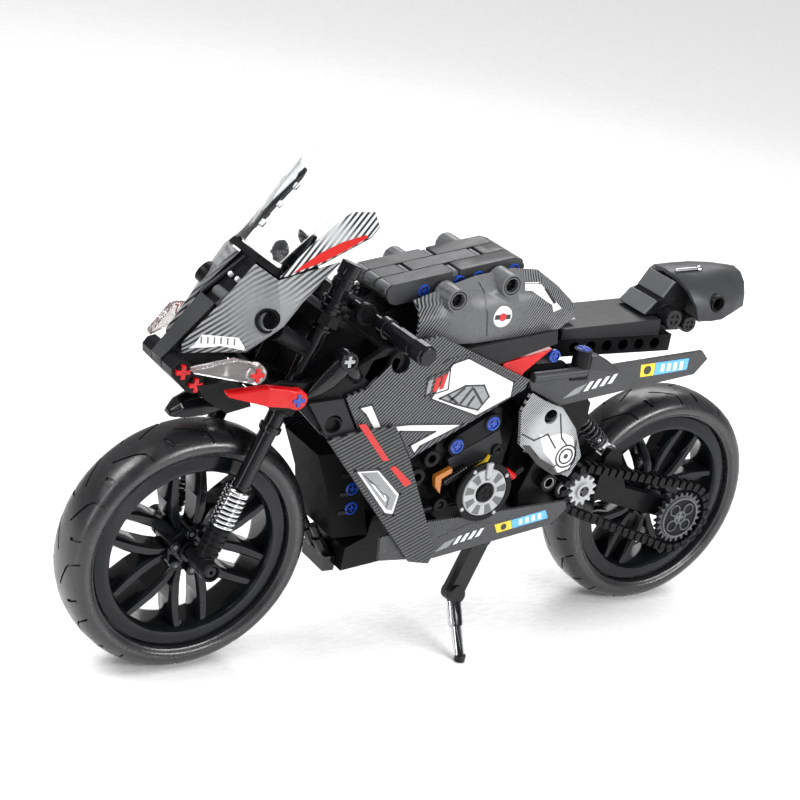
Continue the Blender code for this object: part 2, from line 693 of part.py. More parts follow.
def tail_block():
    """The stepped block of slope tiles behind the seat."""
    block = prism([
        (78.0, 130.2), (82.9, 135.4), (86.0, 137.4), (90.0, 143.2), (98.0, 142.2), (106.0, 130.0),
        (106.0, 123.2), (84.6, 123.2), (84.6, 130.2)], -8, 8)
    ears = [cross_tube(89.0, 130.0, 4.2, side * 7, side * 13.2, 14) for side in (-1, 1)]
    ears += [cross_tube(97.5, 127.6, 3.6, side * 7, side * 13.2, 14) for side in (-1, 1)]
    return join(block, *ears)


def tail_cover():
    """Curved tail cowl, open in front and below."""
    stations = [
        (90.6, 98.6, 17.0, 146.2, 130.3), (99.5, 105.0, 17.2, 146.8, 130.1),
        (108.5, 111.0, 16.6, 147.2, 130.4), (118.0, 119.0, 13.4, 147.2, 131.6),
        (127.0, 127.6, 9.8, 146.4, 133.0)]
    shape = ((-1.0, 0.0), (-0.94, 0.36), (-0.76, 0.72), (-0.44, 0.95), (0.0, 1.02), (0.44, 0.95),
             (0.76, 0.72), (0.94, 0.36), (1.0, 0.0))
    points = []
    for top_y, side_y, half, top_z, low_z in stations:
        for across, up in shape:
            y = side_y + (top_y - side_y) * up ** 1.5
            points.append((half * across, y, low_z + (top_z - low_z) * up))
    width = len(shape)
    faces = []
    for s in range(len(stations) - 1):
        for k in range(width - 1):
            a = s * width + k
            faces.append((a, a + 1, a + width + 1, a + width))
    shell = sheet(points, faces, 1.5)
    return cut(shell, cross_tube(107.4, 137.0, 3.6, -20, 20, 14))


def tail_lamp():
    outline = [(109.0, 125.2), (109.0, 129.6), (119.0, 134.4), (124.0, 134.4), (124.4, 131.8), (116.0, 125.6)]
    return prism(outline, -6.4, 6.4)


# ---------------------------------------------------------------- rear suspension and drive
def swingarm():
    """Pivot tube, two arms with axle eyes, and the shock's lower bracket."""
    tube = cross_tube(PIVOT[0], PIVOT[1], 4.4, -ARM_X[1], ARM_X[1], 16)
    along = Vector((0, REAR_Y - PIVOT[0], TYRE_R - PIVOT[1])).normalized()
    across = Vector((0, -along.z, along.y))
    start = Vector((0, PIVOT[0], PIVOT[1]))
    end = Vector((0, REAR_Y, TYRE_R))
    outline = [start + across * 3.9, start - across * 3.9, end - across * 3.9, end + across * 3.9]
    outline = [(p.y, p.z) for p in outline]
    pieces = plate_pair(outline, *ARM_X)
    for side in (-1, 1):
        pieces.append(cross_tube(REAR_Y, TYRE_R, 5.0, side * ARM_X[0], side * ARM_X[1], 16))
    bracket = [(62.5, 58.0), (64.2, 76.0), (66.5, 78.6), (69.5, 78.6), (72.0, 76.0), (80.0, 55.5)]
    pieces.append(prism(bracket, 17.6, 20.3))
    pieces.append(cross_tube(SHOCK_EYE[0], SHOCK_EYE[1], 1.8, 12.8, 18.5, 10))
    join(tube, *pieces)
    bores = [cross_tube(PIVOT[0], PIVOT[1], PIN_R + BORE_GAP, -30, 30, 16),
             cross_tube(REAR_Y, TYRE_R, PIN_R + BORE_GAP, -30, 30, 16)]
    return cut(tube, *bores)


def belt_outline(front_r, rear_r, steps=9):
    """The outline of a belt round both sprockets, as (y, z) points."""
    span = math.hypot(REAR_Y - PIVOT[0], PIVOT[1] - TYRE_R)
    slope = math.degrees(math.atan2(TYRE_R - PIVOT[1], REAR_Y - PIVOT[0]))
    lean = math.degrees(math.asin((rear_r - front_r) / span))
    rear = arc((REAR_Y, TYRE_R), rear_r, slope - 90 - lean, slope + 90 + lean, steps + 2)
    front = arc(PIVOT, front_r, slope + 90 + lean, slope + 270 - lean, steps)
    return rear + front


def chain():
    """The drive chain as one band round both sprockets."""
    outer = belt_outline(DRIVE_SPROCKET_R + GAP + CHAIN_T, REAR_SPROCKET_R + GAP + CHAIN_T)
    inner = belt_outline(DRIVE_SPROCKET_R + GAP, REAR_SPROCKET_R + GAP)
    bm = bmesh.new()
    loops = []
    for outline in (outer, inner):
        for x in CHAIN_X:
            loops.append([bm.verts.new((x, y, z)) for y, z in outline])
    outer_near, outer_far, inner_near, inner_far = loops
    count = len(outer)
    for i in range(count):
        j = (i + 1) % count
        bm.faces.new((outer_near[i], outer_near[j], outer_far[j], outer_far[i]))
        bm.faces.new((inner_near[i], inner_near[j], inner_far[j], inner_far[i]))
        bm.faces.new((outer_near[i], outer_near[j], inner_near[j], inner_near[i]))
        bm.faces.new((outer_far[i], outer_far[j], inner_far[j], inner_far[i]))
    return add_object("chain", bm)


def rear_sprocket():
    """Rear sprocket with four tube holes, on the axle that the wheel is fixed to."""
    plate = gear(REAR_Y, TYRE_R, REAR_SPROCKET_R, REAR_TEETH, 22.0, 25.0)
    join(plate, cross_tube(REAR_Y, TYRE_R, 8.4, 21.4, 25.8, 20),
         cross_tube(REAR_Y, TYRE_R, PIN_R, -19.6, 22.5, 12))
    holes = []
    for k in range(4):
        a = math.radians(45 + 90 * k)
        holes.append(cross_tube(REAR_Y + 4.9 * math.cos(a), TYRE_R + 4.9 * math.sin(a), 2.2, 20, 28, 8))
    return cut(plate, *holes)


def drive_sprocket():
    disc = gear(PIVOT[0], PIVOT[1], DRIVE_SPROCKET_R, DRIVE_TEETH, 22.0, 25.0)
    return join(disc, cross_tube(PIVOT[0], PIVOT[1], 3.2, 20.9, 26.2, 12))


def shock_parts():
    """The rear shock: eye and barrel, rod and eye, and its spring."""
    top = Vector((SHOCK_X, *SHOCK_TOP))
    eye = Vector((SHOCK_X, *SHOCK_EYE))
    down = (eye - top).normalized()
    half = 2.2
    profile = [(2.4, 0.0), (2.4, 2.4), (6.0, 2.4), (6.0, 3.5), (7.4, 3.5), (7.4, 2.3), (18.5, 2.3),
               (18.5, 1.5), (6.6, 1.5), (6.6, 0.0)]
    body = turned(profile, top, down, 12, closed=False)
    join(body, cross_tube(SHOCK_TOP[0], SHOCK_TOP[1], 3.6, SHOCK_X - half, SHOCK_X + half, 14))
    cut(body, cross_tube(SHOCK_TOP[0], SHOCK_TOP[1], 1.9 + BORE_GAP, 5, 25, 14))
    length = (eye - top).length
    stem = rod(top + down * 10.5, top + down * (length - 3), 1.15, 12)
    seat_ring = rod(top + down * 23.4, top + down * 24.6, 3.5, 14)
    lower = cross_tube(SHOCK_EYE[0], SHOCK_EYE[1], 3.4, SHOCK_X - half, SHOCK_X + 1.9, 14)
    join(stem, seat_ring, lower)
    cut(stem, cross_tube(SHOCK_EYE[0], SHOCK_EYE[1], 1.8 + 0.5, 5, 25, 14))
    spring = helix(top + down * 7.7, down, 15.4, 3.1, 0.5, 5, 8, 5)
    return body, stem, spring


def kickstand():
    """Stand beam from its pivot to the knee, then a round leg down to the foot."""
    knee = Vector(STAND_KNEE)
    foot = Vector(STAND_FOOT)
    pivot = Vector((15.8, *STAND_PIVOT))
    lower = Vector((17.6, knee.y, knee.z))
    leg = cross_tube(STAND_PIVOT[0], STAND_PIVOT[1], 3.7, 15.8, 21.2, 14)
    wide = Vector((0, -(lower - pivot).z, (lower - pivot).y)).normalized() * 3.5
    beam = slab([pivot + wide, pivot - wide, lower - wide, lower + wide], (5.0, 0, 0))
    knuckle = rod(knee - Vector((2.8, 0, 0.4)), knee + Vector((3.6, 0, 0.4)), 3.6, 14)
    along = (foot - knee).normalized()
    cylinder = rod(knee, knee + along * 13.0, 2.6, 12)
    shin = rod(knee + along * 12.0, foot - along * 1.6, 1.7, 10)
    toe = rod((foot.x, foot.y, 0.0), (foot.x, foot.y, 2.4), 2.2, 12)
    join(leg, beam, knuckle, cylinder, shin, toe)
    return cut(leg, cross_tube(*STAND_PIVOT, 1.9 + BORE_GAP, 5, 30, 12))


# ---------------------------------------------------------------- assembly
def build():
    for obj in list(bpy.data.objects):
        bpy.data.objects.remove(obj)

    node("main_frame", main_frame(), "black_plastic")
    node("front_block", front_block(), "black_plastic")
    node("front_guard", front_guard(), "gloss_black")
    node("engine", engine(), "black_plastic")
    node("clutch_disc", clutch_disc(), "grey_metal")
    side_panels()

    pair("nose_cowl", nose_cowl(), "carbon_print")
    node("nose_bridge", nose_bridge(), "dark_grey")
    node("windscreen", windscreen(), "clear")
    pair("windscreen_plate", windscreen_plate(), "carbon_print")
    lamp_blade = [121.3, (-121.6, 121.2), (-122.0, 122.8), (-110.4, 129.0), 128.6]
    pair("headlamp", fin(LAMP, -106.3, lamp_blade, 0.7, PANEL_X, 30.2), "clear")
    wing_blade = [112.6, (-110.2, 114.2), (-110.6, 115.8), 119.8]
    pair("winglet", fin(WINGLET, -98.3, wing_blade, 0.5, PANEL_X, 30.6), "red_plastic")
    node("chin_beak", chin_beak(), "gloss_black")

    node("tank_top", tank_top(), "dark_grey")
    pair("tank_side", tank_side(), "carbon_print")
    node("seat", seat(), "dark_grey")
    node("tail_block", tail_block(), "dark_grey")
    node("tail_cover", tail_cover(), "dark_grey")
    node("tail_lamp", tail_lamp(), "clear")

    head = fork_point(0, 80, STEM_BEHIND_FORK)
    steering = joint("steering_axis", *head)
    node("steering_yokes", steering_yokes(), "black_plastic", steering)
    node("handlebar", handlebar(), "gloss_black", steering)
    pair("fork_tube", fork_tube(), "gloss_black", steering)
    spring = helix(fork_point(FORK_X, 14.9), FORK_UP, 14.8, 3.4, 0.6, 6, 8, 5)
    pair("fork_spring", spring, "chrome", steering)

    slider = joint("fork_slide_axis", *fork_point(0, 0))
    pair("fork_lower", fork_lower(), "black_plastic", slider)
    node("front_axle", cross_tube(FRONT_Y, TYRE_R, PIN_R, -23.6, 23.6, 14), "black_plastic", slider)
    front_axis = joint("front_wheel_axis", 0, FRONT_Y, TYRE_R)
    node("front_rim", rim(FRONT_Y, math.radians(38)), "gloss_black", front_axis)
    node("front_tyre", tyre(FRONT_Y), "tyre", front_axis)

    arm_axis = joint("swingarm_axis", 0, *PIVOT)
    node("swingarm", swingarm(), "black_plastic", arm_axis)
    node("chain", chain(), "black_plastic", arm_axis)
    rear_axis = joint("rear_wheel_axis", 0, REAR_Y, TYRE_R)
    node("rear_rim", rim(REAR_Y, math.radians(6)), "gloss_black", rear_axis)
    node("rear_tyre", tyre(REAR_Y), "tyre", rear_axis)
    node("rear_sprocket", rear_sprocket(), "black_plastic", rear_axis)
    drive_axis = joint("drive_sprocket_axis", 0, *PIVOT)
    node("drive_sprocket", drive_sprocket(), "grey_metal", drive_axis)

    body, stem, coil = shock_parts()
    shock_axis = joint("shock_axis", SHOCK_X, *SHOCK_TOP)
    node("shock_body", body, "black_plastic", shock_axis)
    node("shock_rod", stem, "grey_metal", shock_axis)
    node("shock_spring", coil, "grey_metal", shock_axis)

    stand_axis = joint("kickstand_axis", 0, *STAND_PIVOT)
    node("kickstand", kickstand(), "gloss_black", stand_axis)


build()
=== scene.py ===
"""Looks of the brick-built sport motorcycle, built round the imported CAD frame.

Frame: +Z up, front wheel towards -Y, the rider's left towards +X. Helpers take millimetres.
"""

import json
import math

import bmesh
import bpy
from mathutils import Matrix, Vector
from mathutils.bvhtree import BVHTree


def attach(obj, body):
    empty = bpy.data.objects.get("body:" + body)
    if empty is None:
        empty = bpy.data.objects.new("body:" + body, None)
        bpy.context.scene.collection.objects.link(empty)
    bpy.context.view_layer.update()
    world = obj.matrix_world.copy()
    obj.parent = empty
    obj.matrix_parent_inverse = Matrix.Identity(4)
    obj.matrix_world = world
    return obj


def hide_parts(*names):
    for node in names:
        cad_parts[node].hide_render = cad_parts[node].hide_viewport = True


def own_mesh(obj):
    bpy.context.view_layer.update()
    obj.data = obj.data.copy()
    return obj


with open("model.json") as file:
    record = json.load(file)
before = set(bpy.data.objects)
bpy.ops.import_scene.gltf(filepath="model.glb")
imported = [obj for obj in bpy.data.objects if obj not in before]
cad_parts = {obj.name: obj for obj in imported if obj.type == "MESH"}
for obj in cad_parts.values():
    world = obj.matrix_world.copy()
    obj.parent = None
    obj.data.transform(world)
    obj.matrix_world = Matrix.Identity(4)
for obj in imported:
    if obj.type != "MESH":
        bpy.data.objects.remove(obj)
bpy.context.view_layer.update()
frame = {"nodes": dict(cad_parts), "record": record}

MM = 0.001
FRONT_Y = -106.5
REAR_Y = 106.5
WHEEL_R = 47.1
RAKE = math.radians(20.5)
FORK_UP = Vector((0, math.sin(RAKE), math.cos(RAKE)))
FORK_BACK = Vector((0, math.cos(RAKE), -math.sin(RAKE)))
FORK_X = 16
PIVOT = (52, 64.5)
X = Vector((1, 0, 0))
BODY_OF = {n: b for b, ns in frame["record"]["behaviour"]["bodies"].items() for n in ns}
SHADER = "Principled BSDF"
BUMP_DEPTH = 0.0002
BEVEL_STEPS = 2
PRINT_SINK = 0.08
PRINT_RISE = 0.12
PRINT_THICK = 0.3
PRINT_STEP = 1.2
OUTSIDE_X = 60
PANEL_X = 22
PLATE_NORMAL = Vector((0.670, -0.590, 0.452))


# ---- materials
def put(tree, socket, value):
    """Fills a shader socket with a number, a tuple or another socket."""
    if isinstance(value, bpy.types.NodeSocket):
        tree.links.new(value, socket)
    else:
        socket.default_value = value


def add_node(tree, kind, inputs, output=0, **settings):
    """Adds a shader node, fills its inputs and returns one of its outputs."""
    made = tree.nodes.new("ShaderNode" + kind)
    for key, value in settings.items():
        setattr(made, key, value)
    for key, value in inputs.items():
        put(tree, made.inputs[key], value)
    return made.outputs[output]


def new_material(name, roughness, **sockets):
    mat = bpy.data.materials.new(name)
    mat.use_nodes = True
    tree = mat.node_tree
    for key, value in (("Roughness", roughness), *sockets.items()):
        put(tree, tree.nodes[SHADER].inputs[key.replace("_", " ")], value)
    return mat, tree, add_node(tree, "TexCoord", {}, "Object")


def math_node(tree, operation, *values):
    return add_node(tree, "Math", dict(enumerate(values)), operation=operation)


def map_range(tree, *values):
    """A smooth step of (value, low, high, low result, high result)."""
    return add_node(tree, "MapRange", dict(enumerate(values)), interpolation_type="SMOOTHSTEP")


def noise(tree, coords, scale, detail=3):
    return add_node(tree, "TexNoise", {"Vector": coords, "Scale": scale, "Detail": detail}, "Fac")


def ramp(tree, factor, *stops):
    """A ramp between two (position, colour) stops."""
    made = tree.nodes.new("ShaderNodeValToRGB")
    for element, (at, colour) in zip(made.color_ramp.elements, stops):
        element.position = at
        element.color = (*colour, 1)
    put(tree, made.inputs["Fac"], factor)
    return made.outputs["Color"]


def surface(tree, colour, gloss, grain, strength):
    """Links a material's colour, its roughness and its grain."""
    normal = add_node(tree, "Bump", {"Strength": strength, "Distance": BUMP_DEPTH, "Height": grain})
    for key, value in (("Base Color", colour), ("Roughness", gloss), ("Normal", normal)):
        put(tree, tree.nodes[SHADER].inputs[key], value)


def moulded(name, colour, roughness, spread=0.1, grain=0.05, metallic=0, specular=0.5):
    """Moulded plastic: faint colour drift, fine wear in the gloss and an even orange-peel grain."""
    mat, tree, coords = new_material(name, roughness, Metallic=metallic, Specular_IOR_Level=specular)
    low = [c * (1 - spread) for c in colour]
    high = [min(1, c * (1 + spread) + 0.002) for c in colour]
    wear = noise(tree, add_node(tree, "Mapping", {"Vector": coords, "Scale": (1, 0.35, 1)}), 420, 5)
    surface(tree, ramp(tree, noise(tree, coords, 60), (0.35, low), (0.65, high)),
        map_range(tree, wear, 0.35, 0.75, max(0.03, roughness - 0.03), roughness + 0.05),
        noise(tree, coords, 1500, 2), grain)
    return mat


def printed_stripes(name, direction, pitch, dark, light, plain=None, centre=(0, 0), radius=0, soft=6):
    """Carbon-look print: fine slanted lines with a cross weave, fading to plain colour round a centre (on the
    nose cowl that lighter centre is partly painted reflection).
    """
    mat, tree, coords = new_material(name, 0.3, Specular_IOR_Level=0.22)

    def wave(vector, spacing):
        along = add_node(tree, "VectorMath", {0: coords, 1: vector}, "Value", operation="DOT_PRODUCT")
        return math_node(tree, "SINE", math_node(tree, "MULTIPLY", along, math.tau / (spacing * MM)))

    x, y, z = direction
    lines = map_range(tree, wave(direction, pitch), -0.45, 0.45, 0, 1)
    weave = map_range(tree, wave((x, -z, y), pitch * 0.5), -0.9, 0.9, 0.72, 1)
    factor = math_node(tree, "MULTIPLY", lines, weave)
    if plain is not None:
        shift = (0, -centre[0] * MM, -centre[1] * MM)
        flat = add_node(tree, "VectorMath", {0: coords, 1: (0, 1, 1), 2: shift}, operation="MULTIPLY_ADD")
        reach = add_node(tree, "VectorMath", {0: flat}, "Value", operation="LENGTH")
        mask = map_range(tree, reach, (radius - soft) * MM, (radius + soft) * MM, 0, 1)
        factor = math_node(tree, "MULTIPLY_ADD", math_node(tree, "SUBTRACT", factor, plain), mask, plain)
    drift = math_node(tree, "MULTIPLY_ADD", noise(tree, coords, 90), 0.1, -0.05)
    factor = math_node(tree, "ADD", factor, drift)
    surface(tree, ramp(tree, factor, (0, dark), (1, light)),
        map_range(tree, noise(tree, coords, 380, 5), 0.3, 0.8, 0.24, 0.4), noise(tree, coords, 1300, 2), 0.04)
    return mat


def rubber(name):
    mat, tree, coords = new_material(name, 0.3, Specular_IOR_Level=0.6)
    surface(tree, ramp(tree, noise(tree, coords, 45), (0.3, (0.007, 0.0074, 0.008)),
        (0.7, (0.012, 0.0126, 0.0136))), map_range(tree, noise(tree, coords, 240, 6), 0.3, 0.75, 0.24, 0.37),
        noise(tree, coords, 900, 4), 0.06)
    return mat


def transparent(name, colour, roughness, weight, ior):
    mat, tree, coords = new_material(name, roughness, IOR=ior, Transmission_Weight=weight)
    low = [c * 0.94 for c in colour]
    surface(tree, ramp(tree, noise(tree, coords, 50), (0.3, low), (0.7, colour)),
        map_range(tree, noise(tree, coords, 500, 4), 0.4, 0.8, roughness, roughness + 0.06),
        noise(tree, coords, 800, 1), 0.02)
    return mat


BLACK = moulded("black_abs", (0.005, 0.0052, 0.0057), 0.3, grain=0.03, specular=0.1)
GLOSS = moulded("gloss_black_abs", (0.004, 0.0043, 0.005), 0.13, grain=0.03, specular=0.26)
RIM_BLACK = moulded("rim_black_abs", (0.004, 0.0046, 0.0056), 0.15, grain=0.04, specular=0.22)
DARK = moulded("dark_grey_abs", (0.010, 0.0105, 0.0115), 0.34, specular=0.2)
SATIN = moulded("satin_grey_abs", (0.028, 0.029, 0.0305), 0.4, grain=0.02, specular=0.3)
GREY = moulded("mid_grey_abs", (0.085, 0.088, 0.092), 0.34)
MATT = moulded("matt_black", (0.004, 0.0041, 0.0044), 0.6, specular=0.05)
PALE = moulded("pale_grey_abs", (0.34, 0.345, 0.35), 0.3)
WHITE = moulded("white_print", (0.66, 0.67, 0.68), 0.32, 0.04, 0.02)
SILVER_PRINT = moulded("silver_print", (0.2, 0.205, 0.21), 0.3, 0.05, 0.02)
INK = moulded("black_ink", (0.012, 0.012, 0.013), 0.35, 0.1, 0.02)
RED = moulded("red_abs", (0.46, 0.003, 0.005), 0.2, 0.08, 0.03, specular=0.3)
RED_PRINT = moulded("red_print", (0.44, 0.006, 0.004), 0.35, 0.05, 0.02)
BLUE = moulded("blue_abs", (0.007, 0.04, 0.27), 0.25, 0.1, 0.03)
SKY = moulded("sky_print", (0.09, 0.36, 0.72), 0.3, 0.05, 0.02)
YELLOW = moulded("yellow_abs", (0.72, 0.50, 0.02), 0.3, 0.06, 0.03)
ORANGE = moulded("orange_abs", (0.36, 0.12, 0.012), 0.3, 0.08, 0.03)
CHROME = moulded("chrome_plate", (0.78, 0.79, 0.80), 0.1, 0.03, 0.02, metallic=1)
SPROCKET = moulded("sprocket_grey", (0.03, 0.031, 0.033), 0.2, 0.1, 0.03)
STEEL = moulded("pearl_metal", (0.55, 0.56, 0.57), 0.24, 0.05, 0.03, metallic=0.85)
TYRE = rubber("tyre_rubber")
CLEAR = transparent("clear_pc", (0.96, 0.975, 0.98), 0.03, 1, 1.16)
LAMP_CLEAR = transparent("lamp_pc", (0.72, 0.68, 0.68), 0.12, 0.9, 1.45)

DARK_INK = (0.005, 0.0052, 0.0058)
CARBON = printed_stripes("carbon_side", (0, 0.72, -0.69), 1.15, DARK_INK, (0.13, 0.134, 0.138))
CARBON_LOW = printed_stripes("carbon_lower", (0, 0.42, -0.91), 1.45, DARK_INK, (0.09, 0.093, 0.096))
CARBON_FINE = printed_stripes("carbon_fine", (0, 0.75, -0.66), 0.8, DARK_INK, (0.1, 0.103, 0.106))
CARBON_TANK = printed_stripes("carbon_tank", (0, 0.82, -0.57), 1, DARK_INK, (0.2, 0.204, 0.208), 0.5,
    (-10, 148), 19, 7)
# Nose cowl: the carbon print fades to plain grey round the hole, and that lighter centre and the light lines
# are partly painted reflection.
CARBON_NOSE = printed_stripes("carbon_nose_print_and_sheen", (0.25, 0.60, -0.76), 1.25, (0.008, 0.0085, 0.009),
    (0.26, 0.265, 0.27), 0.62, (-95, 139), 13, 7)
CARBON_COVER = printed_stripes("carbon_cover", (0, 0.75, -0.66), 0.85, DARK_INK, (0.42, 0.43, 0.44), 0.85,
    (27, 92), 10, 4)
CARBON_PLATE = printed_stripes("carbon_plate", (0.2, 0.80, -0.57), 1.3, (0.02, 0.021, 0.022),
    (0.62, 0.63, 0.64), 0.6, (-78, 171), 4, 5)


# ---- mesh helpers
def vec(x, y, z):
    return Vector((x, y, z)) * MM


def fork_point(x, up, back=0):
    return Vector((x, FRONT_Y, WHEEL_R)) + FORK_UP * up + FORK_BACK * back


def polar(radius, angle):
    """A place round the X axis, from +Y towards +Z."""
    return Vector((0, radius * math.cos(angle), radius * math.sin(angle)))


def around(count, start=0):
    """Even angles of one full turn."""
    return [start + math.tau * k / count for k in range(count)]


def from_rings(rings):
    """Skins a list of equal rings of points, in millimetres, and closes both ends."""
    bm = bmesh.new()
    verts = [[bm.verts.new(Vector(p) * MM) for p in ring] for ring in rings]
    for first, second in zip(verts, verts[1:]):
        for i in range(len(first)):
            j = (i + 1) % len(first)
            bm.faces.new((first[i], first[j], second[j], second[i]))
    bm.faces.new(verts[0])
    bm.faces.new(verts[-1])
    return bm


def prism(outline, x0, x1):
    """A (y, z) outline pushed along X."""
    return from_rings([[(x, y, z) for y, z in outline] for x in (x0, x1)])


def box(low, high):
    return prism([(low[1], low[2]), (high[1], low[2]), (high[1], high[2]), (low[1], high[2])], low[0],
        high[0])


def basis(axis):
    axis = Vector(axis).normalized()
    side = axis.orthogonal().normalized() if abs(axis.x) < 0.9 else Vector((0, 1, 0))
    return axis, side, axis.cross(side)


def turned(profile, origin, axis, sides=48, closed=True):
    """A profile of (along, radius) turned round an axis. Its ends are joined unless closed is False."""
    axis, u, v = basis(axis)
    origin = Vector(origin)
    bm = bmesh.new()
    rings = []
    for along, radius in profile:
        middle = origin + axis * along
        spread = around(sides) if radius > 1e-6 else [0]
        rings.append([bm.verts.new((middle + (u * math.cos(a) + v * math.sin(a)) * radius) * MM)
            for a in spread])
    for first, second in list(zip(rings, rings[1:])) + ([(rings[-1], rings[0])] if closed else []):
        if len(first) == 1 and len(second) == 1:
            continue
        for k in range(sides):
            m = (k + 1) % sides
            if len(first) == 1:
                bm.faces.new((first[0], second[m], second[k]))
            elif len(second) == 1:
                bm.faces.new((first[k], first[m], second[0]))
            else:
                bm.faces.new((first[k], first[m], second[m], second[k]))
    return bm


def rod(start, end, radius, end_radius=None, sides=24, chamfer=0.3):
    start, end = Vector(start), Vector(end)
    length = (end - start).length
    far = end_radius or radius
    c = min(chamfer, radius * 0.4, far * 0.4)
    profile = [(0, 0), (0, radius - c), (c, radius), (length - c, far), (length, far - c), (length, 0)]
    return turned(profile, start, end - start, sides)


def ring(centre, axis, inner, outer, low, high, sides=32, chamfer=0.25):
    c = chamfer
    profile = [(low, inner), (low, outer - c), (low + c, outer), (high - c, outer), (high, outer - c),
        (high, inner + c * 0.6), (high - c * 0.6, inner)]
    return turned(profile, centre, axis, sides)


def merge(*parts):
    out = bmesh.new()
    for part in parts:
        mesh = bpy.data.meshes.new("join")
        part.to_mesh(mesh)
        part.free()
        out.from_mesh(mesh)
        bpy.data.meshes.remove(mesh)
    return out


def coil(origin, axis, length, radius, wire, turns):
    """A spring wire with flattened end turns."""
    axis, u, v = basis(axis)
    origin = Vector(origin)
    steps = turns * 28
    rings = []
    for i in range(steps + 1):
        t = i / steps
        a = math.tau * turns * t
        rise = min(1, max(0, (t - 0.06) / 0.88))
        out = u * math.cos(a) + v * math.sin(a)
        centre = origin + axis * (length * rise) + out * radius
        rings.append([centre + (out * math.cos(b) + axis * math.sin(b)) * wire for b in around(10)])
    return from_rings(rings)


def cross(centre, axis, size, thick, low, high):
    """The plus-shaped end of an axle."""
    axis, u, v = basis(axis)
    w = thick / 2
    outline = [(w, size), (w, w), (size, w), (size, -w), (w, -w), (w, -size), (-w, -size), (-w, -w),
        (-size, -w), (-size, w), (-w, w), (-w, size)]
    c = Vector(centre)
    return from_rings([[c + axis * h + u * a + v * b for a, b in outline] for h in (low, high)])


def flipped(bm):
    """The same shape on the other side of the bike."""
    out = bm.copy()
    bmesh.ops.transform(out, matrix=Matrix.Scale(-1, 4, X), verts=out.verts)
    bmesh.ops.reverse_faces(out, faces=out.faces)
    return out


def add_object(name, data):
    obj = bpy.data.objects.new(name, data)
    bpy.context.scene.collection.objects.link(obj)
    return obj


def to_object(name, bm):
    """Puts a bmesh into the scene as an object."""
    mesh = bpy.data.meshes.new(name)
    bm.to_mesh(mesh)
    bm.free()
    return add_object(name, mesh)


def piece(name, shapes, material, *nodes, body="chassis", slot=None, bevel=0, angle=32):
    """Turns a shape or a list of them into a piece that rides on a body and stands for CAD nodes."""
    bm = merge(*shapes) if isinstance(shapes, list) else shapes
    bmesh.ops.recalc_face_normals(bm, faces=bm.faces)
    obj = to_object(name, bm)
    obj.data.materials.append(material)
    obj.data.shade_smooth()
    obj.data.set_sharp_from_angle(angle=math.radians(angle))
    if bevel:
        mod = obj.modifiers.new("edges", "BEVEL")
        mod.width = bevel * MM
        mod.segments = BEVEL_STEPS
        mod.limit_method = "ANGLE"
        mod.angle_limit = math.radians(angle)
        mod.harden_normals = True
        mod.use_clamp_overlap = True
    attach(obj, body)
    if nodes:
        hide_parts(*nodes)
    return obj


def both(name, shapes, material, *nodes, **kwargs):
    """A piece on the rider's left and its mirror image on the right."""
    left = merge(*shapes) if isinstance(shapes, list) else shapes
    return [piece(f"{name}_{side}", bm, material, *[f"{n}_{side}" for n in nodes], **kwargs)
        for side, bm in (("left", left), ("right", flipped(left)))]


def outline_of(node):
    """A clean copy of a CAD node's shape, with its flat faces whole again."""
    bm = bmesh.new()
    bm.from_mesh(frame["nodes"][node].data)
    bmesh.ops.remove_doubles(bm, verts=bm.verts, dist=2e-6)
    bmesh.ops.dissolve_limit(bm, angle_limit=math.radians(0.6), verts=bm.verts, edges=bm.edges)
    return bm


def refined(node, material, bevel=0.35, angle=32):
    """A CAD node's shape with soft moulded edges."""
    return piece(node + "_shell", outline_of(node), material, node, body=BODY_OF[node], bevel=bevel,
        angle=angle)


def softened(node, material, voxel=0.32, rounds=14):
    """A CAD node's shape melted into one smooth moulding."""
    obj = refined(node, material, 0, 180)
    remesh = obj.modifiers.new("even", "REMESH")
    remesh.mode = "VOXEL"
    remesh.voxel_size = voxel * MM
    remesh.use_smooth_shade = True
    smooth = obj.modifiers.new("melt", "SMOOTH")
    smooth.factor = 0.5
    smooth.iterations = rounds


def stroke(x, points, width, closed=False):
    """Flat (y, z) strips that follow a line of points, each with its x, for the prints."""
    out = []
    pts = [Vector((*p, 0)) for p in points]
    for a, b in zip(pts, pts[1:] + pts[:closed]):
        if (b - a).length < 1e-4:
            continue
        d = (b - a).normalized() * (width / 2)
        n = Vector((-d.y, d.x, 0))
        out.append(([tuple(q[:2]) for q in (a - d + n, a - d - n, b + d - n, b + d + n)], x))
    return out


def projected(outline, node, lift=0.14):
    """A printed area laid on a curved CAD panel on the rider's left: (y, z) points dropped along X."""
    mesh = frame["nodes"][node].data
    panel = BVHTree.FromPolygons([v.co.copy() for v in mesh.vertices],
        [tuple(p.vertices) for p in mesh.polygons])
    bm = bmesh.new()
    face = bm.faces.new([bm.verts.new(vec(0, y, z)) for y, z in outline])
    bmesh.ops.triangulate(bm, faces=[face])
    for _ in range(5):  # enough to bring every edge under PRINT_STEP
        long = [e for e in bm.edges if e.calc_length() > PRINT_STEP * MM]
        if not long:
            break
        bmesh.ops.subdivide_edges(bm, edges=long, cuts=1)
        bmesh.ops.triangulate(bm, faces=bm.faces[:])
    for v in bm.verts:
        hit = panel.ray_cast(Vector((OUTSIDE_X * MM, v.co.y, v.co.z)), -X)[0]
        if hit is None:
            hit = panel.find_nearest(Vector((PANEL_X * MM, v.co.y, v.co.z)))[0]
        v.co.x = hit.x + lift * MM
    out = bmesh.ops.extrude_face_region(bm, geom=bm.faces[:])
    back = [g for g in out["geom"] if isinstance(g, bmesh.types.BMVert)]
    bmesh.ops.translate(bm, vec=vec(-PRINT_THICK, 0, 0), verts=back)
    return bm


def circle(y, z, r, count=28):
    return [(y + r * math.cos(a), z + r * math.sin(a)) for a in around(count)]


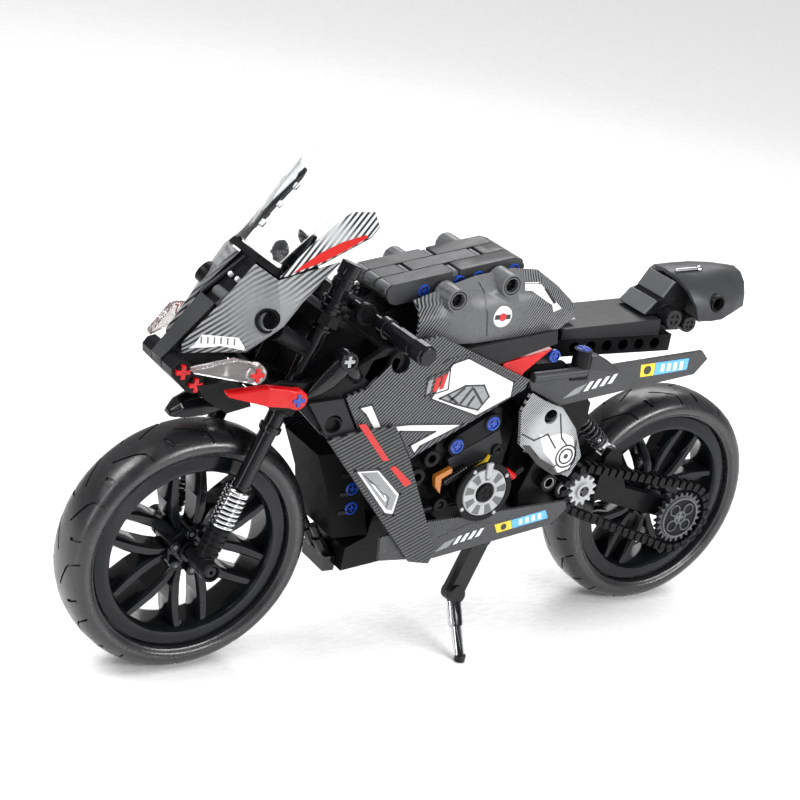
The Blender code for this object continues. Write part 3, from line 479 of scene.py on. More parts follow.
def pin(x, y, z, r):
    """A friction pin's face: rim, recess and cross slot."""
    profile = [(-1.2, 0), (-1.2, r), (-0.2, r), (0.1, r - 0.3), (0.1, r * 0.72), (-0.5, r * 0.66), (-0.5, 0)]
    return merge(turned(profile, (x, y, z), X, 28), cross((x, y, z), X, r * 0.5, r * 0.28, -0.6, 0))


def bush(x, y, z, r, depth):
    """A round hole's lining with a stepped dark bore."""
    profile = [(0, r), (0.3, r - 0.25), (0.3, r * 0.78), (-0.8, r * 0.7), (-depth, r * 0.66), (-depth, 0),
        (-depth - 0.6, 0), (-depth - 0.6, r)]
    return merge(turned(profile, (x, y, z), X, 32),
        cross((x, y, z), X, r * 0.5, r * 0.2, -depth - 0.1, -depth + 1))


# ---- wheels
TYRE_PROFILE = [(6.2, 36.3), (6.4, 37.7), (8.8, 37.9), (9.5, 38.2), (9.8, 38.9), (10.4, 39.3), (10.85, 40.3),
    (11, 41.4), (10.7, 42.7), (9.95, 44), (8.7, 45.2), (7, 46.15), (4.8, 46.75), (2.4, 47.02), (0, 47.1)]
TREAD_PITCHES = 12
SPOKE_PAIRS = 6
LUG_CIRCLE = 7.4


def tyre_radius(x):
    """Outer radius of the tyre at a distance x from its middle."""
    top = [p for p in TYRE_PROFILE if p[1] >= 41]
    x = min(abs(x), 10.99)
    for (x1, r1), (x0, r0) in zip(top, top[1:]):
        if x0 <= x <= x1:
            return r0 + (r1 - r0) * (x - x0) / (x1 - x0)
    return top[0][1]


def groove(path, width, depth):
    """A cutter that follows a path of (x, angle) points over the tread."""
    dense = []
    for (xa, ta), (xb, tb) in zip(path, path[1:]):
        for k in range(4):
            dense.append((xa + (xb - xa) * k / 4, ta + (tb - ta) * k / 4))
    dense.append(path[-1])

    def on_tyre(x, t):
        return X * x + polar(tyre_radius(x), t)

    rings = []
    for i, (x, t) in enumerate(dense):
        here = on_tyre(x, t)
        a = on_tyre(*dense[max(0, i - 1)])
        b = on_tyre(*dense[min(len(dense) - 1, i + 1)])
        along = (b - a).normalized()
        slope = (tyre_radius(abs(x) - 0.2) - tyre_radius(abs(x) + 0.2)) / 0.4
        normal = Vector((math.copysign(slope, x), math.cos(t), math.sin(t))).normalized()
        side = along.cross(normal).normalized() * (width / 2)
        rings.append([here + side + normal, here - side + normal, here - side * 0.7 - normal * depth,
            here + side * 0.7 - normal * depth])
    return from_rings(rings)


def tyre_mesh():
    profile = TYRE_PROFILE + [(-x, r) for x, r in reversed(TYRE_PROFILE[:-1])]
    body = turned(profile, (0, 0, 0), X, 126)
    cutters = []
    for t in around(TREAD_PITCHES):
        for side in (-1, 1):
            turn = t + (0 if side > 0 else math.pi / TREAD_PITCHES)
            stick = [(10.2, -0.03), (6.9, 0), (5.7, 0.03), (3.6, 0.12), (1.1, 0.22)]
            slot = [(4.6, 0.33), (9, 0.30)]
            cutters.append(groove([(side * x, turn + a) for x, a in stick], 0.95, 0.8))
            cutters.append(groove([(side * x, turn + a) for x, a in slot], 1.5, 0.7))
    cutter_bm = merge(*cutters)
    bmesh.ops.recalc_face_normals(cutter_bm, faces=cutter_bm.faces)
    bmesh.ops.recalc_face_normals(body, faces=body.faces)
    blank, cutter = to_object("tyre_blank", body), to_object("tread_cutter", cutter_bm)
    mod = blank.modifiers.new("tread", "BOOLEAN")
    mod.operation = "DIFFERENCE"
    mod.object = cutter
    mod.solver = "EXACT"
    graph = bpy.context.evaluated_depsgraph_get()
    result = bpy.data.meshes.new_from_object(blank.evaluated_get(graph))
    bpy.data.objects.remove(blank)
    bpy.data.objects.remove(cutter)
    return result


def spoke(angle, side):
    """One curved blade of a spoke pair."""
    out, across = polar(1, angle), polar(1, angle + math.pi / 2)
    stations = [(6.3, 2.4, 1.5, 4.2), (9.5, 3.9, 1.7, 4.7), (14, 5.1, 2, 5.2), (20, 5.6, 2.1, 5.6),
        (26, 5.5, 1.9, 6), (32.1, 5.1, 1.6, 6.5)]
    rings = []
    for radius, offset, thick, wide in stations:
        middle = out * radius + across * offset * side
        rings.append([middle + across * thick * a + X * wide * b
            for a, b in ((-1, -0.8), (-0.6, -1), (0.6, -1), (1, -0.8), (1, 0.8), (0.6, 1), (-0.6, 1),
            (-1, 0.8))])
    return from_rings(rings)


def rim_shape(first):
    """Flanged rim, six pairs of blades, hub and its round lugs."""
    half = [(6.4, 35.2), (6.8, 37.15), (7.1, 37.3), (7.7, 37.3), (7.95, 37.1), (8.2, 35.6), (8.45, 33.6),
        (8.6, 32.4), (8.45, 32), (7.9, 31.7), (7.2, 31.2), (5.5, 30.9)]
    profile = half + [(-x, r) for x, r in reversed(half)]
    parts = [turned(profile, (0, 0, 0), X, 120)]
    for a in around(SPOKE_PAIRS, first):
        parts += [spoke(a, -1), spoke(a, 1)]
        lug = polar(LUG_CIRCLE, a)
        for side in (-1, 1):
            profile = [(0, 0), (0, 1.7), (5.6, 1.7), (5.8, 2.1), (8, 2.1), (8.4, 1.8), (8.4, 1), (7.6, 0.9),
                (7.6, 0)]
            parts.append(turned(profile, lug, X * side, 20))
    hub = [(5.6, 0), (5.6, 7.9), (5.2, 8.3), (-5.2, 8.3), (-5.6, 7.9), (-5.6, 0)]
    parts.append(turned(hub, (0, 0, 0), X, 48))
    for side in (-1, 1):
        parts.append(ring((0, 0, 0), X * side, 2.7, 4.3, 5, 7.6, 32))
    return merge(*parts)


tread = tyre_mesh()
for prefix, y, first in (("front", FRONT_Y, math.radians(38)), ("rear", REAR_Y, math.radians(6))):
    place = Matrix.Translation(vec(0, y, WHEEL_R))
    tyre_bm = bmesh.new()
    tyre_bm.from_mesh(tread)
    bmesh.ops.transform(tyre_bm, matrix=place, verts=tyre_bm.verts)
    piece(prefix + "_tyre_treaded", tyre_bm, TYRE, prefix + "_tyre", body=prefix + "_wheel", angle=38)
    rim_bm = rim_shape(first)
    bmesh.ops.transform(rim_bm, matrix=place, verts=rim_bm.verts)
    piece(prefix + "_rim_cast", rim_bm, RIM_BLACK, prefix + "_rim", body=prefix + "_wheel", bevel=0.25,
        angle=35)
    # Grey caps on the black lug tips: painted highlight where the lug ends catch the light.
    ends = []
    for a in around(SPOKE_PAIRS, first):
        for side in (-1, 1):
            ends.append(turned([(6.9, 0), (6.9, 0.95), (8.2, 0.95), (8.4, 0.75), (8.4, 0)],
                Vector((0, y, WHEEL_R)) + polar(LUG_CIRCLE, a), X * side, 16))
    piece(prefix + "_lug_ends_painted_highlight", ends, GREY, body=prefix + "_wheel", slot="grey_metal")
bpy.data.meshes.remove(tread)


# ---- fork and steering
def fork():
    leg = [(2.4, 0), (2.4, 3.3), (2.8, 3.6)]
    for k in range(4):
        base = 4 + 2.35 * k
        leg += [(base, 3.6), (base + 0.15, 4.15), (base + 1.35, 4.15), (base + 1.5, 3.6)]
    leg += [(13.5, 3.6), (13.6, 4.3), (14.5, 4.3), (14.6, 4.1), (14.6, 1.6), (44, 1.6), (44, 0)]
    foot = fork_point(FORK_X, 0)
    boss = turned([(11.9, 2.7), (11.9, 3.4), (12.3, 3.7), (19.6, 3.7), (19.8, 3.2), (20.6, 3.2), (20.8, 3.7),
        (23.7, 3.7), (24, 3.4), (24, 2.75), (22.6, 2.65)], (0, FRONT_Y, WHEEL_R), X, 40)
    both("fork_lower_ribbed", [turned(leg, foot, FORK_UP, 40), boss], BLACK, "fork_lower", body="fork_slider",
        bevel=0.12, angle=30)
    spring = coil(fork_point(FORK_X, 15.3), FORK_UP, 14, 4.2, 0.55, 9)
    for obj in both("fork_spring_wire", spring, CHROME, "fork_spring", body="steering"):
        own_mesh(obj)
    tube = [(30, 2), (30, 3), (30.3, 3.3), (31.8, 3.3), (32, 3.1), (52.6, 3.1), (52.8, 3.6), (53.6, 4.1),
        (55.4, 4.1), (55.6, 3.3), (96, 3.3), (96.3, 3.6), (99.5, 3.6), (99.8, 3.3), (109, 3.3), (109.2, 3.9),
        (112, 3.9), (112.2, 3.4), (113.4, 3.4), (113.6, 3.9), (118.2, 3.9), (118.5, 3.6), (118.5, 2.5),
        (116.5, 2.3), (116.5, 0), (58, 0), (58, 2)]
    both("fork_tube_gloss", turned(tube, foot, FORK_UP, 40, closed=False), GLOSS, "fork_tube",
        body="steering", bevel=0.1, angle=30)
    collars = [ring(foot, FORK_UP, 3.1, 4.3, up, up + 1.1, 40) for up in (60.5, 93, 101.2, 104)]
    collars.append(turned([(118, 0), (118, 2.6), (118.5, 3.4), (118.5, 0)], foot, FORK_UP, 6))
    both("fork_collars", collars, GLOSS, body="steering")
    axle = turned([(-23.6, 0), (-23.6, 1.3), (-23.3, 2.2), (23.3, 2.2), (23.6, 1.3), (23.6, 0.8), (21, 0.8),
        (21, 0)], (0, FRONT_Y, WHEEL_R), X, 28)
    piece("front_axle_pin", axle, DARK, "front_axle", body="fork_slider", slot="black_plastic")


fork()
refined("steering_yokes", BLACK)
refined("handlebar", GLOSS, 0.4)


def grips():
    """Bar sleeves with end collars and a slotted joint near each bracket."""
    inner = fork_point(26, 104, 15.9)
    end = fork_point(54, 103.8, 17.6)
    along = end - inner
    profile = [(9.5, 0), (9.5, 3), (9.9, 3.4), (19.2, 3.4), (19.6, 3.1), (20.2, 3.1), (20.6, 3.9),
        (26.8, 3.9), (27.4, 3.5), (27.4, 2.3), (25.4, 2.1), (25.4, 0)]
    sleeve = turned(profile, inner, along, 10)
    collar = ring(inner, along, 2.2, 3.8, 1, 4.6, 32)
    both("bar_grip", [sleeve, collar], GLOSS, body="steering", bevel=0.2)
    clamp = fork_point(20.6, 104.5, 11)
    lever = [turned([(-1.6, 0), (-1.6, 3.6), (-1.2, 4), (1.3, 4), (1.7, 3.6), (1.7, 3), (1.2, 2.8), (1.2, 0)],
        clamp, X, 36)]
    for a in around(3):
        lever.append(ring(clamp + X * 1.3 + polar(1.7, a), X, 0.6, 0.95, 0, 0.35, 16, 0.08))
    both("bar_clamp", lever, BLACK, body="steering", bevel=0.15)


grips()


# ---- carried shapes with soft edges
for node_name, mat in (("main_frame", BLACK), ("front_block", MATT), ("front_guard", GLOSS),
        ("engine", BLACK), ("engine_tile", DARK), ("nose_bridge", BLACK), ("tank_top", SATIN), ("seat", DARK),
        ("tail_block", BLACK), ("tail_lamp", LAMP_CLEAR), ("side_beam", DARK), ("swingarm", BLACK),
        ("kickstand", GLOSS), ("fairing_upper", CARBON), ("fairing_lower", CARBON_LOW),
        ("fairing_tile", DARK), ("belly_panel", CARBON_FINE), ("pivot_cover", CARBON_COVER),
        ("tail_panel", CARBON_FINE), ("shock_body", BLACK), ("shock_rod", STEEL)):
    for suffix in ("",) if node_name in BODY_OF else ("_left", "_right"):
        refined(node_name + suffix, mat)

for label in ("left", "right"):
    refined("nose_cowl_" + label, CARBON_NOSE, 0.3, 40)
    refined("tank_side_" + label, CARBON_TANK, 0.3, 46)
    plate = refined("windscreen_plate_" + label, CARBON_PLATE, 0.2)
    plate.data.materials.append(MATT)
    outward = PLATE_NORMAL if label == "left" else Vector((-PLATE_NORMAL.x, *PLATE_NORMAL.yz))
    for face in plate.data.polygons:
        face.material_index = 0 if face.normal.dot(outward) > 0.9 else 1
    softened("headlamp_" + label, LAMP_CLEAR)
    softened("winglet_" + label, RED)
refined("windscreen", CLEAR, 0.15, 50)
softened("chin_beak", GLOSS, 0.4, 8)
refined("tail_cover", SATIN, 0.25, 46)


# ---- side graphics
def side_graphics():
    white = [([(-24, 123.5), (-17.5, 125.4), (4.9, 114.8), (4.9, 108.8), (-9.2, 102.2), (-30.6, 110.3)], 28),
        ([(-60.4, 108.9), (-55.2, 109.7), (-49.4, 100.6), (-38, 100.9), (-14.3, 99.3), (-31.5, 91.9),
        (-33.4, 88.9), (-36, 92.4), (-26, 97.2), (-41, 98.4), (-50.6, 97.2), (-57, 106)], 28),
        ([(-52, 99.5), (-47.3, 98.7), (-38.6, 87.8), (-40.2, 86.3)], 28),
        ([(-58.8, 85.4), (-48.7, 85.1), (-37.7, 74.3), (-39, 65.9), (-43, 66.8)], 30)]
    red = [([(-60.7, 103.3), (-57.7, 103.5), (-44.9, 88.1), (-47.7, 88.3)], 30),
        ([(-44.1, 85.2), (-42.2, 85.9), (-33.4, 78.3), (-36.1, 76.9)], 30),
        ([(-30.1, 118.2), (-28, 119), (-28.6, 113.6), (-30.6, 113)], 28.12),
        ([(-27.3, 119.3), (-25.2, 120.1), (-26.2, 114.2), (-27.9, 113.7)], 28.12)]
    grey = [([(-27, 110.3), (-16.5, 114.6), (-8.4, 114.3), (-5.2, 109.6), (-9, 104.6), (-19.7, 107.6)],
        28.12), ([(-33, 117.4), (-31.2, 118), (-31.6, 112.8), (-33.2, 112.4)], 28)]
    ink = []
    for points, x in white + grey[:1]:
        ink += stroke(x + 0.06, points, 0.9 if x > 29 else 0.65, True)
    for line in (((-22, 109.3), (-17, 113.6)), ((-17.5, 107.6), (-13.4, 113.4)), ((-14, 106.8), (-12, 110)),
            ((-23.4, 111.2), (-19, 108)), ((-12.6, 113), (-8, 107.4))):
        ink += stroke(28.2, line, 1)
    grey.append(([(-56.4, 84.4), (-49.2, 84.1), (-39, 73.6), (-40, 67.8), (-42.6, 68.6)], 30.04))
    white += stroke(30.06, [(-51.8, 80.8), (-44.6, 75.2), (-43, 71.4), (-51.8, 80.8)], 0.5)
    ink += stroke(30.1, [(-54.4, 83.2), (-42.4, 73.2), (-42.6, 69.6)], 0.35)
    ink += stroke(28.14, [(-33.6, 118.6), (-24.6, 121.4), (-24, 113.6), (-33.4, 111.4)], 0.45, True)
    ink += stroke(28.06, [(-30, 122.6), (-26, 125.6), (-17, 127), (7, 115.6)], 0.3)
    ink += stroke(28.02, [(-15, 53.2), (-2, 57.4), (7.5, 56.8)], 0.4)
    yellow = [([(9.8, 55.6), (17, 56.8), (18.6, 53.2), (11.7, 52)], 28),
        ([(67.8, 116.3), (74.8, 116.8), (75.2, 111.6), (68.6, 111.2)], 24)]
    sky = [([(17.2, 56.8), (32.9, 59.5), (34.9, 55.9), (18.8, 53.2)], 28),
        ([(75, 116.8), (91.6, 117.9), (91.7, 113.1), (75.4, 111.6)], 24)]
    ink += [(circle(14.2, 54.4, 1.3), 28.1), (circle(71.5, 114, 1.8), 24.1)]
    for k in range(4):
        y = 21.4 + 2.9 * k
        white.append(([(y, 54.4 + 0.5 * k), (y + 1.5, 54.7 + 0.5 * k), (y + 0.9, 57 + 0.5 * k),
            (y - 0.6, 56.7 + 0.5 * k)], 28.1))
        y = 78.2 + 3.1 * k
        white.append(([(y, 112.9 + 0.1 * k), (y + 1.7, 113 + 0.1 * k), (y + 1.5, 116.2 + 0.2 * k),
            (y - 0.2, 116.1 + 0.2 * k)], 24.1))
    # claw motifs on the belly and tail panels
    for base_y, base_z, x, s in ((-8, 49.2, 28, 1), (42, 106.8, 24, 1.15)):
        for k in range(4):
            y = base_y + 3.2 * k * s
            z = base_z + 0.7 * k * s
            white.append(([(y, z), (y + 1.8 * s, z + 0.3), (y + 3.6 * s, z + 3.6 * s),
                (y + 2 * s, z + 3.4 * s)], x))
        grey.append(([(base_y - 8 * s, base_z - 2.4), (base_y - 2 * s, base_z - 0.6),
            (base_y + 1 * s, base_z + 3 * s), (base_y - 4 * s, base_z + 1.2)], x))
    # pivot cover line art
    ink += [([(14.8, 88.4), (18.6, 88), (24.8, 82.2), (31.4, 78.6), (34.8, 74.6), (32.6, 74.4), (24, 79.6)],
        27.94)]
    white += [([(22, 92.5), (27, 91), (33, 92), (38.5, 90), (41.2, 83), (40, 76.8), (35, 75.2), (31.6, 79.5),
        (26, 84.5)], 27.9)]
    art = [[(14, 93), (20, 90), (26, 92), (31, 86)], [(16, 86), (22, 84), (27, 79.5)],
        [(30, 100), (33, 90), (36, 87)], [(33, 78.5), (30.5, 77), (35, 74.6), (40.5, 76.2)],
        [(40.6, 88), (41.6, 80), (40, 76.4)]]
    for line in art:
        ink += stroke(28.02, line, 0.6)
    for r in (4.6, 3):
        ink += stroke(28.02, circle(37, 82, r, 24), 0.6, True)
    ink += [(circle(37, 82, 1), 28.04)]
    for name, shapes, mat in (("white", white, WHITE), ("red", red, RED_PRINT), ("grey", grey, SILVER_PRINT),
            ("ink", ink, INK), ("yellow", yellow, YELLOW), ("sky", sky, SKY)):
        both("print_" + name, [prism(p, x - PRINT_SINK, x + PRINT_RISE) for p, x in shapes], mat)


side_graphics()


# ---- drive
CHAIN_STEP = 0.25
CHAIN_PITCH = 4
SPROCKET_X = (22.1, 24.9)


def belt_path(front_r, rear_r):
    """Points along the chain's middle line."""
    a, b = Vector((0, *PIVOT)), Vector((0, REAR_Y, WHEEL_R))
    span = (b - a).length
    slope = math.atan2(b.z - a.z, b.y - a.y)
    lean = math.asin((rear_r - front_r) / span)
    points = []

    def sweep(c, r, start, stop):
        n = int((stop - start) * r / CHAIN_STEP)
        for i in range(n + 1):
            t = start + (stop - start) * i / n
            points.append(c + polar(r, t))

    quarter = math.pi / 2
    sweep(b, rear_r, slope - quarter - lean, slope + quarter + lean)
    sweep(a, front_r, slope + quarter + lean, slope + 3 * quarter - lean)
    points.append(points[0])
    return points


def chain():
    path = belt_path(9, 13.7)
    lengths = [0]
    for p, q in zip(path, path[1:]):
        lengths.append(lengths[-1] + (q - p).length)
    count = round(lengths[-1] / CHAIN_PITCH)
    pitch = lengths[-1] / count
    links = []
    i = 0
    for k in range(count):
        s = k * pitch
        while lengths[i + 1] < s:
            i += 1
        p, q = path[i], path[i + 1]
        here = p + (q - p) * ((s - lengths[i]) / max(1e-6, lengths[i + 1] - lengths[i]))
        along = (q - p).normalized()
        out = Vector((0, along.z, -along.y))

        def block(a0, a1, h0, h1, x0, x1, lean=0):
            return from_rings([[here + X * x + along * a + out * h
                for a, h in ((a0, h0), (a1, h0), (a1 - lean, h1), (a0 + lean, h1))] for x in (x0, x1)])

        hinge = here - along * 1.2 - out * 0.6
        links += [block(-1.75, 1.1, -1.4, 0.5, 21.2, 22.6), block(-1.75, 1.1, -1.4, 0.5, 24, 25.4),
            block(-0.5, 1.75, -1.1, 0.7, 22.4, 24.2), block(-1.5, 1.2, 0.4, 2, 21, 25.6, 0.35),
            rod(hinge + X * 21.4, hinge + X * 25.2, 0.75, sides=10, chamfer=0.1)]
    piece("chain_links", links, BLACK, "chain", body="rear_swingarm", bevel=0.15, angle=25)


def toothed(centre, root, tip, teeth):
    """A toothed disc in the chain's plane."""
    outline = []
    for k in range(teeth):
        for share, radius in ((0, root), (0.16, root), (0.34, tip - 0.25), (0.42, tip), (0.58, tip),
                (0.66, tip - 0.25), (0.84, root)):
            outline.append((centre + polar(radius, math.tau * (k + share) / teeth)).yz)
    return prism(outline, *SPROCKET_X)


def sprockets():
    centre = Vector((0, REAR_Y, WHEEL_R))
    # The grey rings round the dark sprocket's rim and holes are painted highlight on its edges.
    parts = [ring(centre, X, 8.2, 8.9, 21.5, 25.75, 64), ring(centre, X, 2.3, 3, 21.5, 25.7, 24)]
    parts += [ring(centre + polar(4.9, a), X, 2.1, 2.6, 21.5, 25.75, 28) for a in around(4, math.radians(45))]
    parts.append(cross(centre, X, 2.3, 1.3, 20.5, 25.2))
    piece("rear_sprocket_teeth", toothed(centre, 9.7, 11.3, 24), SPROCKET, "rear_sprocket", body="rear_wheel",
        bevel=0.2)
    piece("rear_sprocket_rings_painted_highlight", parts, GREY, body="rear_wheel", slot="grey_metal", bevel=0.1)
    web = turned([(21.8, 2.5), (21.8, 8.4), (25.1, 8.4), (25.1, 2.5)], centre, X, 48)
    axle = turned([(-19.6, 0), (-19.6, 2.2), (22.4, 2.2), (22.4, 0)], centre, X, 24)
    piece("rear_sprocket_web", [web, axle], BLACK, body="rear_wheel", bevel=0.1)
    centre = Vector((0, *PIVOT))
    parts = [toothed(centre, 5, 6.6, 12), ring(centre, X, 2.2, 3.3, 20.9, 26.2, 28)]
    piece("drive_sprocket_teeth", parts, PALE, "drive_sprocket", body="front_gear", slot="grey_metal",
        bevel=0.12)
    piece("drive_axle_end", cross(centre, X, 2.1, 1.3, 21.2, 26), INK, body="front_gear",
        slot="black_plastic")


chain()
sprockets()


def shock():
    top = Vector((15.4, 46, 96))
    eye = Vector((15.4, 68, 76))
    down = (eye - top).normalized()
    wire = coil(top + down * 7.9, down, 14.9, 3.1, 0.55, 6)
    obj = piece("shock_spring_wire", wire, SPROCKET, "shock_spring", body="shock_upper")
    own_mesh(obj)


shock()


# ---- engine side
def engine_details():
    centre = Vector((28.3, 0.5, 71))
    cover = turned([(0, 3.9), (0, 11.9), (0.3, 12.2), (1, 12.2), (1.4, 11.8), (1.4, 9.9), (1.1, 9.8),
        (1.1, 3.9)], centre, X, 72)
    hub = turned([(0, 0), (0, 3.9), (2.2, 3.7), (2.6, 3.3), (2.6, 2.4), (2.2, 2.2), (2.2, 0)], centre, X, 40)
    plus = cross(centre, X, 1.9, 0.6, 2, 2.5)
    piece("clutch_cover", [cover, hub, plus], BLACK, "clutch_disc", bevel=0.1)
    dial = turned([(1, 4), (1, 9.6), (1.6, 9.4), (1.8, 9.1), (1.8, 4.3), (1.5, 4)], centre, X, 72)
    sector = [(5.2, 0), (9, 0), (9, 0.2), (9, 0.38), (5.2, 0.36), (5.2, 0.18)]
    marks = [from_rings([[centre + X * x + polar(r, turn + a) for r, a in sector] for x in (1.74, 1.88)])
        for turn in around(9)]
    dots = [turned([(-0.3, 0), (-0.3, 0.8), (0.25, 0.8), (0.45, 0.55), (0.45, 0)],
        centre + X * 1.4 + polar(10.8, a), X, 20) for a in around(4, math.radians(35))]
    piece("clutch_dial", [dial, *dots], PALE, bevel=0.08)
    piece("clutch_sectors", marks, GREY)
    piece("clutch_clip", prism([(-1, 83), (1.6, 83.4), (1.4, 78), (0.4, 76.6), (-0.8, 77.8)], 29.4, 30.9),
        PALE, bevel=0.3)
    spots = ((2.6, 96.4), (-11.9, 88.2))
    blue = [pin(24.3, y, z, 2.9) for y, z in spots]
    backs = [ring((0, y, z), X, 2.9, 3.8, 20.8, 24.2) for y, z in spots]
    both("engine_pins", blue, BLUE)
    both("engine_pin_beam", [*backs, prism([(-13.5, 91.6), (1, 99.9), (4.2, 93), (-10.4, 84.8)], 20.9, 23.6)],
        BLACK, bevel=0.3)
    rods = [rod((23.5, -17.5, 73), (23.5, -3, 80.5), 1.7), rod((23.5, -8, 78), (23.5, 8, 84.5), 1.3),
        rod((22, 9, 66), (22, 22, 76), 1.5), rod((22.5, -22, 62), (22.5, -4, 66), 1.4)]
    rods += [ring((x, y, z), X, inner, outer, low, high)
        for x, y, z, inner, outer, low, high in ((23, 35, 69, 2.1, 3.7, -2.4, 1.2),
        (23, 42.6, 65.4, 2.1, 3.7, -2.4, 1.2), (23.5, 6.5, 85.5, 1.1, 2.4, -2, 1.5),
        (22.8, -22, 84, 1.6, 3.4, -2, 1.4), (22.8, -27, 77, 1.6, 3.4, -2, 1.4),
        (23.2, 20, 88, 1.6, 3.2, -2, 1.4), (23.2, -14.5, 64.5, 1.4, 3, -2, 1.4))]
    both("engine_linkage", rods, BLACK, bevel=0.15)
    both("engine_bright_rings", [ring((24.2, 42.6, 65.4), X, 1.9, 2.5, -0.6, 0.4),
        ring((24.2, 35, 69), X, 2, 2.3, -0.6, 0.2)], PALE, slot="grey_metal")
    both("engine_yellow_key", prism([(-3.4, 79), (0.8, 81.6), (3, 84.2), (1.6, 79.8), (-1.6, 77.2)], 24.2,
        26), YELLOW, slot="red_plastic", bevel=0.3)
    both("engine_orange_bracket", prism([(-20.6, 77.5), (-13.6, 80.6), (-13.2, 78.6), (-17.4, 76.4),
        (-17, 70.2), (-19.8, 73.4)], 23.8, 26.2), ORANGE, bevel=0.3)
    hose = [(0, 0)]
    for k in range(9):
        hose += [(1.2 * k, 1.5), (1.2 * k + 0.25, 1.9), (1.2 * k + 0.75, 1.9), (1.2 * k + 1, 1.5)]
    hose.append((10.6, 0))
    both("engine_hose", turned(hose, (25, -16, 74.5), (0, 0.85, 0.5), 24), GLOSS, slot="black_plastic")
    red = rod((24, 12.5, 76.5), (24, 17.5, 73.2), 1.3)
    both("engine_red_tip", red, RED)


engine_details()


def front_block_details():
    both("front_block_pins", [pin(13.4, -47, 69, 2.7), pin(13.4, -46, 61, 2.7)], BLUE)
    both("front_block_lips", [box((12.9, -52 + 0.2 * k, 74 - 7.6 * k),
        (13.5, -48.5 + 0.2 * k, 75.4 - 7.6 * k)) for k in range(3)], DARK, bevel=0.15)


front_block_details()


# ---- panel fittings
HORN_AXLE = (27.6, -68.6, 127.4)


def panel_fittings():
    both("panel_bushes", [bush(27.6, -69.8, 101.9, 4.1, 4), bush(27.6, 25.5, 101.2, 3.5, 4),
        bush(27.6, -46.1, 124.7, 4.6, 4)], BLACK, bevel=0.1)
    stations = [(-82.6, 114, 27.5, 0.3, 0.3), (-80.8, 115, 27.5, 1.6, 0.9), (-78, 117, 27.5, 2.9, 1.6),
        (-74.6, 120, 27.6, 3.8, 2.1), (-71, 123.6, 27.6, 4, 2.3), (-68, 126.8, 27.6, 3.5, 2.2)]
    up = Vector((0, -0.69, 0.72))
    rings = [[Vector((x, y, z)) + up * high * math.cos(t) + X * thick * math.sin(t) for t in around(16)]
        for y, z, x, high, thick in stations]
    horn = merge(from_rings(rings), turned([(-3.5, 0), (-3.5, 3.2), (2, 3.6), (2.6, 3.2), (2.6, 2.5),
        (1.9, 2.4), (1.9, 0)], HORN_AXLE, X, 36), rod((27.2, -67.4, 125.4), (25.4, -61.6, 119), 3, 2.4))
    both("horn", horn, GLOSS, angle=50)
    both("horn_axle_end", cross(HORN_AXLE, X, 2.1, 1.2, 1.6, 2.5), PALE, bevel=0.1)
    both("horn_mount", prism([(-60, 119), (-57, 126.5), (-50, 128.4), (-44, 126), (-46, 119), (-54, 115)],
        22.4, 26), SATIN, bevel=0.9)
    both("lamp_axle_end", cross((29.9, -104, 124.6), X, 2.4, 1.5, -1, 0.75), RED, bevel=0.1)
    both("winglet_axle_end", cross((30.3, -86.8, 114.4), X, 2.3, 1.4, -1, 0.7), BLUE, bevel=0.1)
    both("nose_axle_end", [cross((12.6, -122.4, 119.4), X, 2.5, 1.6, -1, 0.7),
        cross((12.6, -117, 114.4), X, 2.5, 1.6, -1, 0.7)], RED, bevel=0.15)
    both("red_wedge", prism([(0.1, 121.3), (21.7, 126.1), (10.6, 117.2), (9.4, 115), (0.4, 117)], 22.6, 25.8),
        RED, bevel=0.4)
    both("side_pins", pin(24.6, 24.4, 122.4, 2.5), BLUE)
    both("tail_post", [rod((22.5, 39, 115.5), (22.5, 39, 124), 3.6), box((19.4, 34, 112), (25, 42, 117))],
        BLACK, bevel=0.3)
    cap = turned([(-0.4, 0), (-0.4, 2.9), (0.3, 2.9), (0.5, 2.6), (0.5, 0)], (22.5, 39, 123.8), (0, 0, 1), 32)
    both("tail_post_cap", [cap, cross((22.5, 39, 124.3), (0, 0, 1), 2.3, 0.9, -0.1, 0.3)], BLUE, bevel=0.1)
    both("tail_hump", prism([(42, 116), (42.4, 121), (46, 121.4), (51, 119), (57, 115), (56, 114)], 20.4,
        24.6), SATIN, bevel=0.8)
    both("side_rod", rod((24.6, 16, 114.4), (24.6, 40.5, 115.6), 2), SATIN)


panel_fittings()


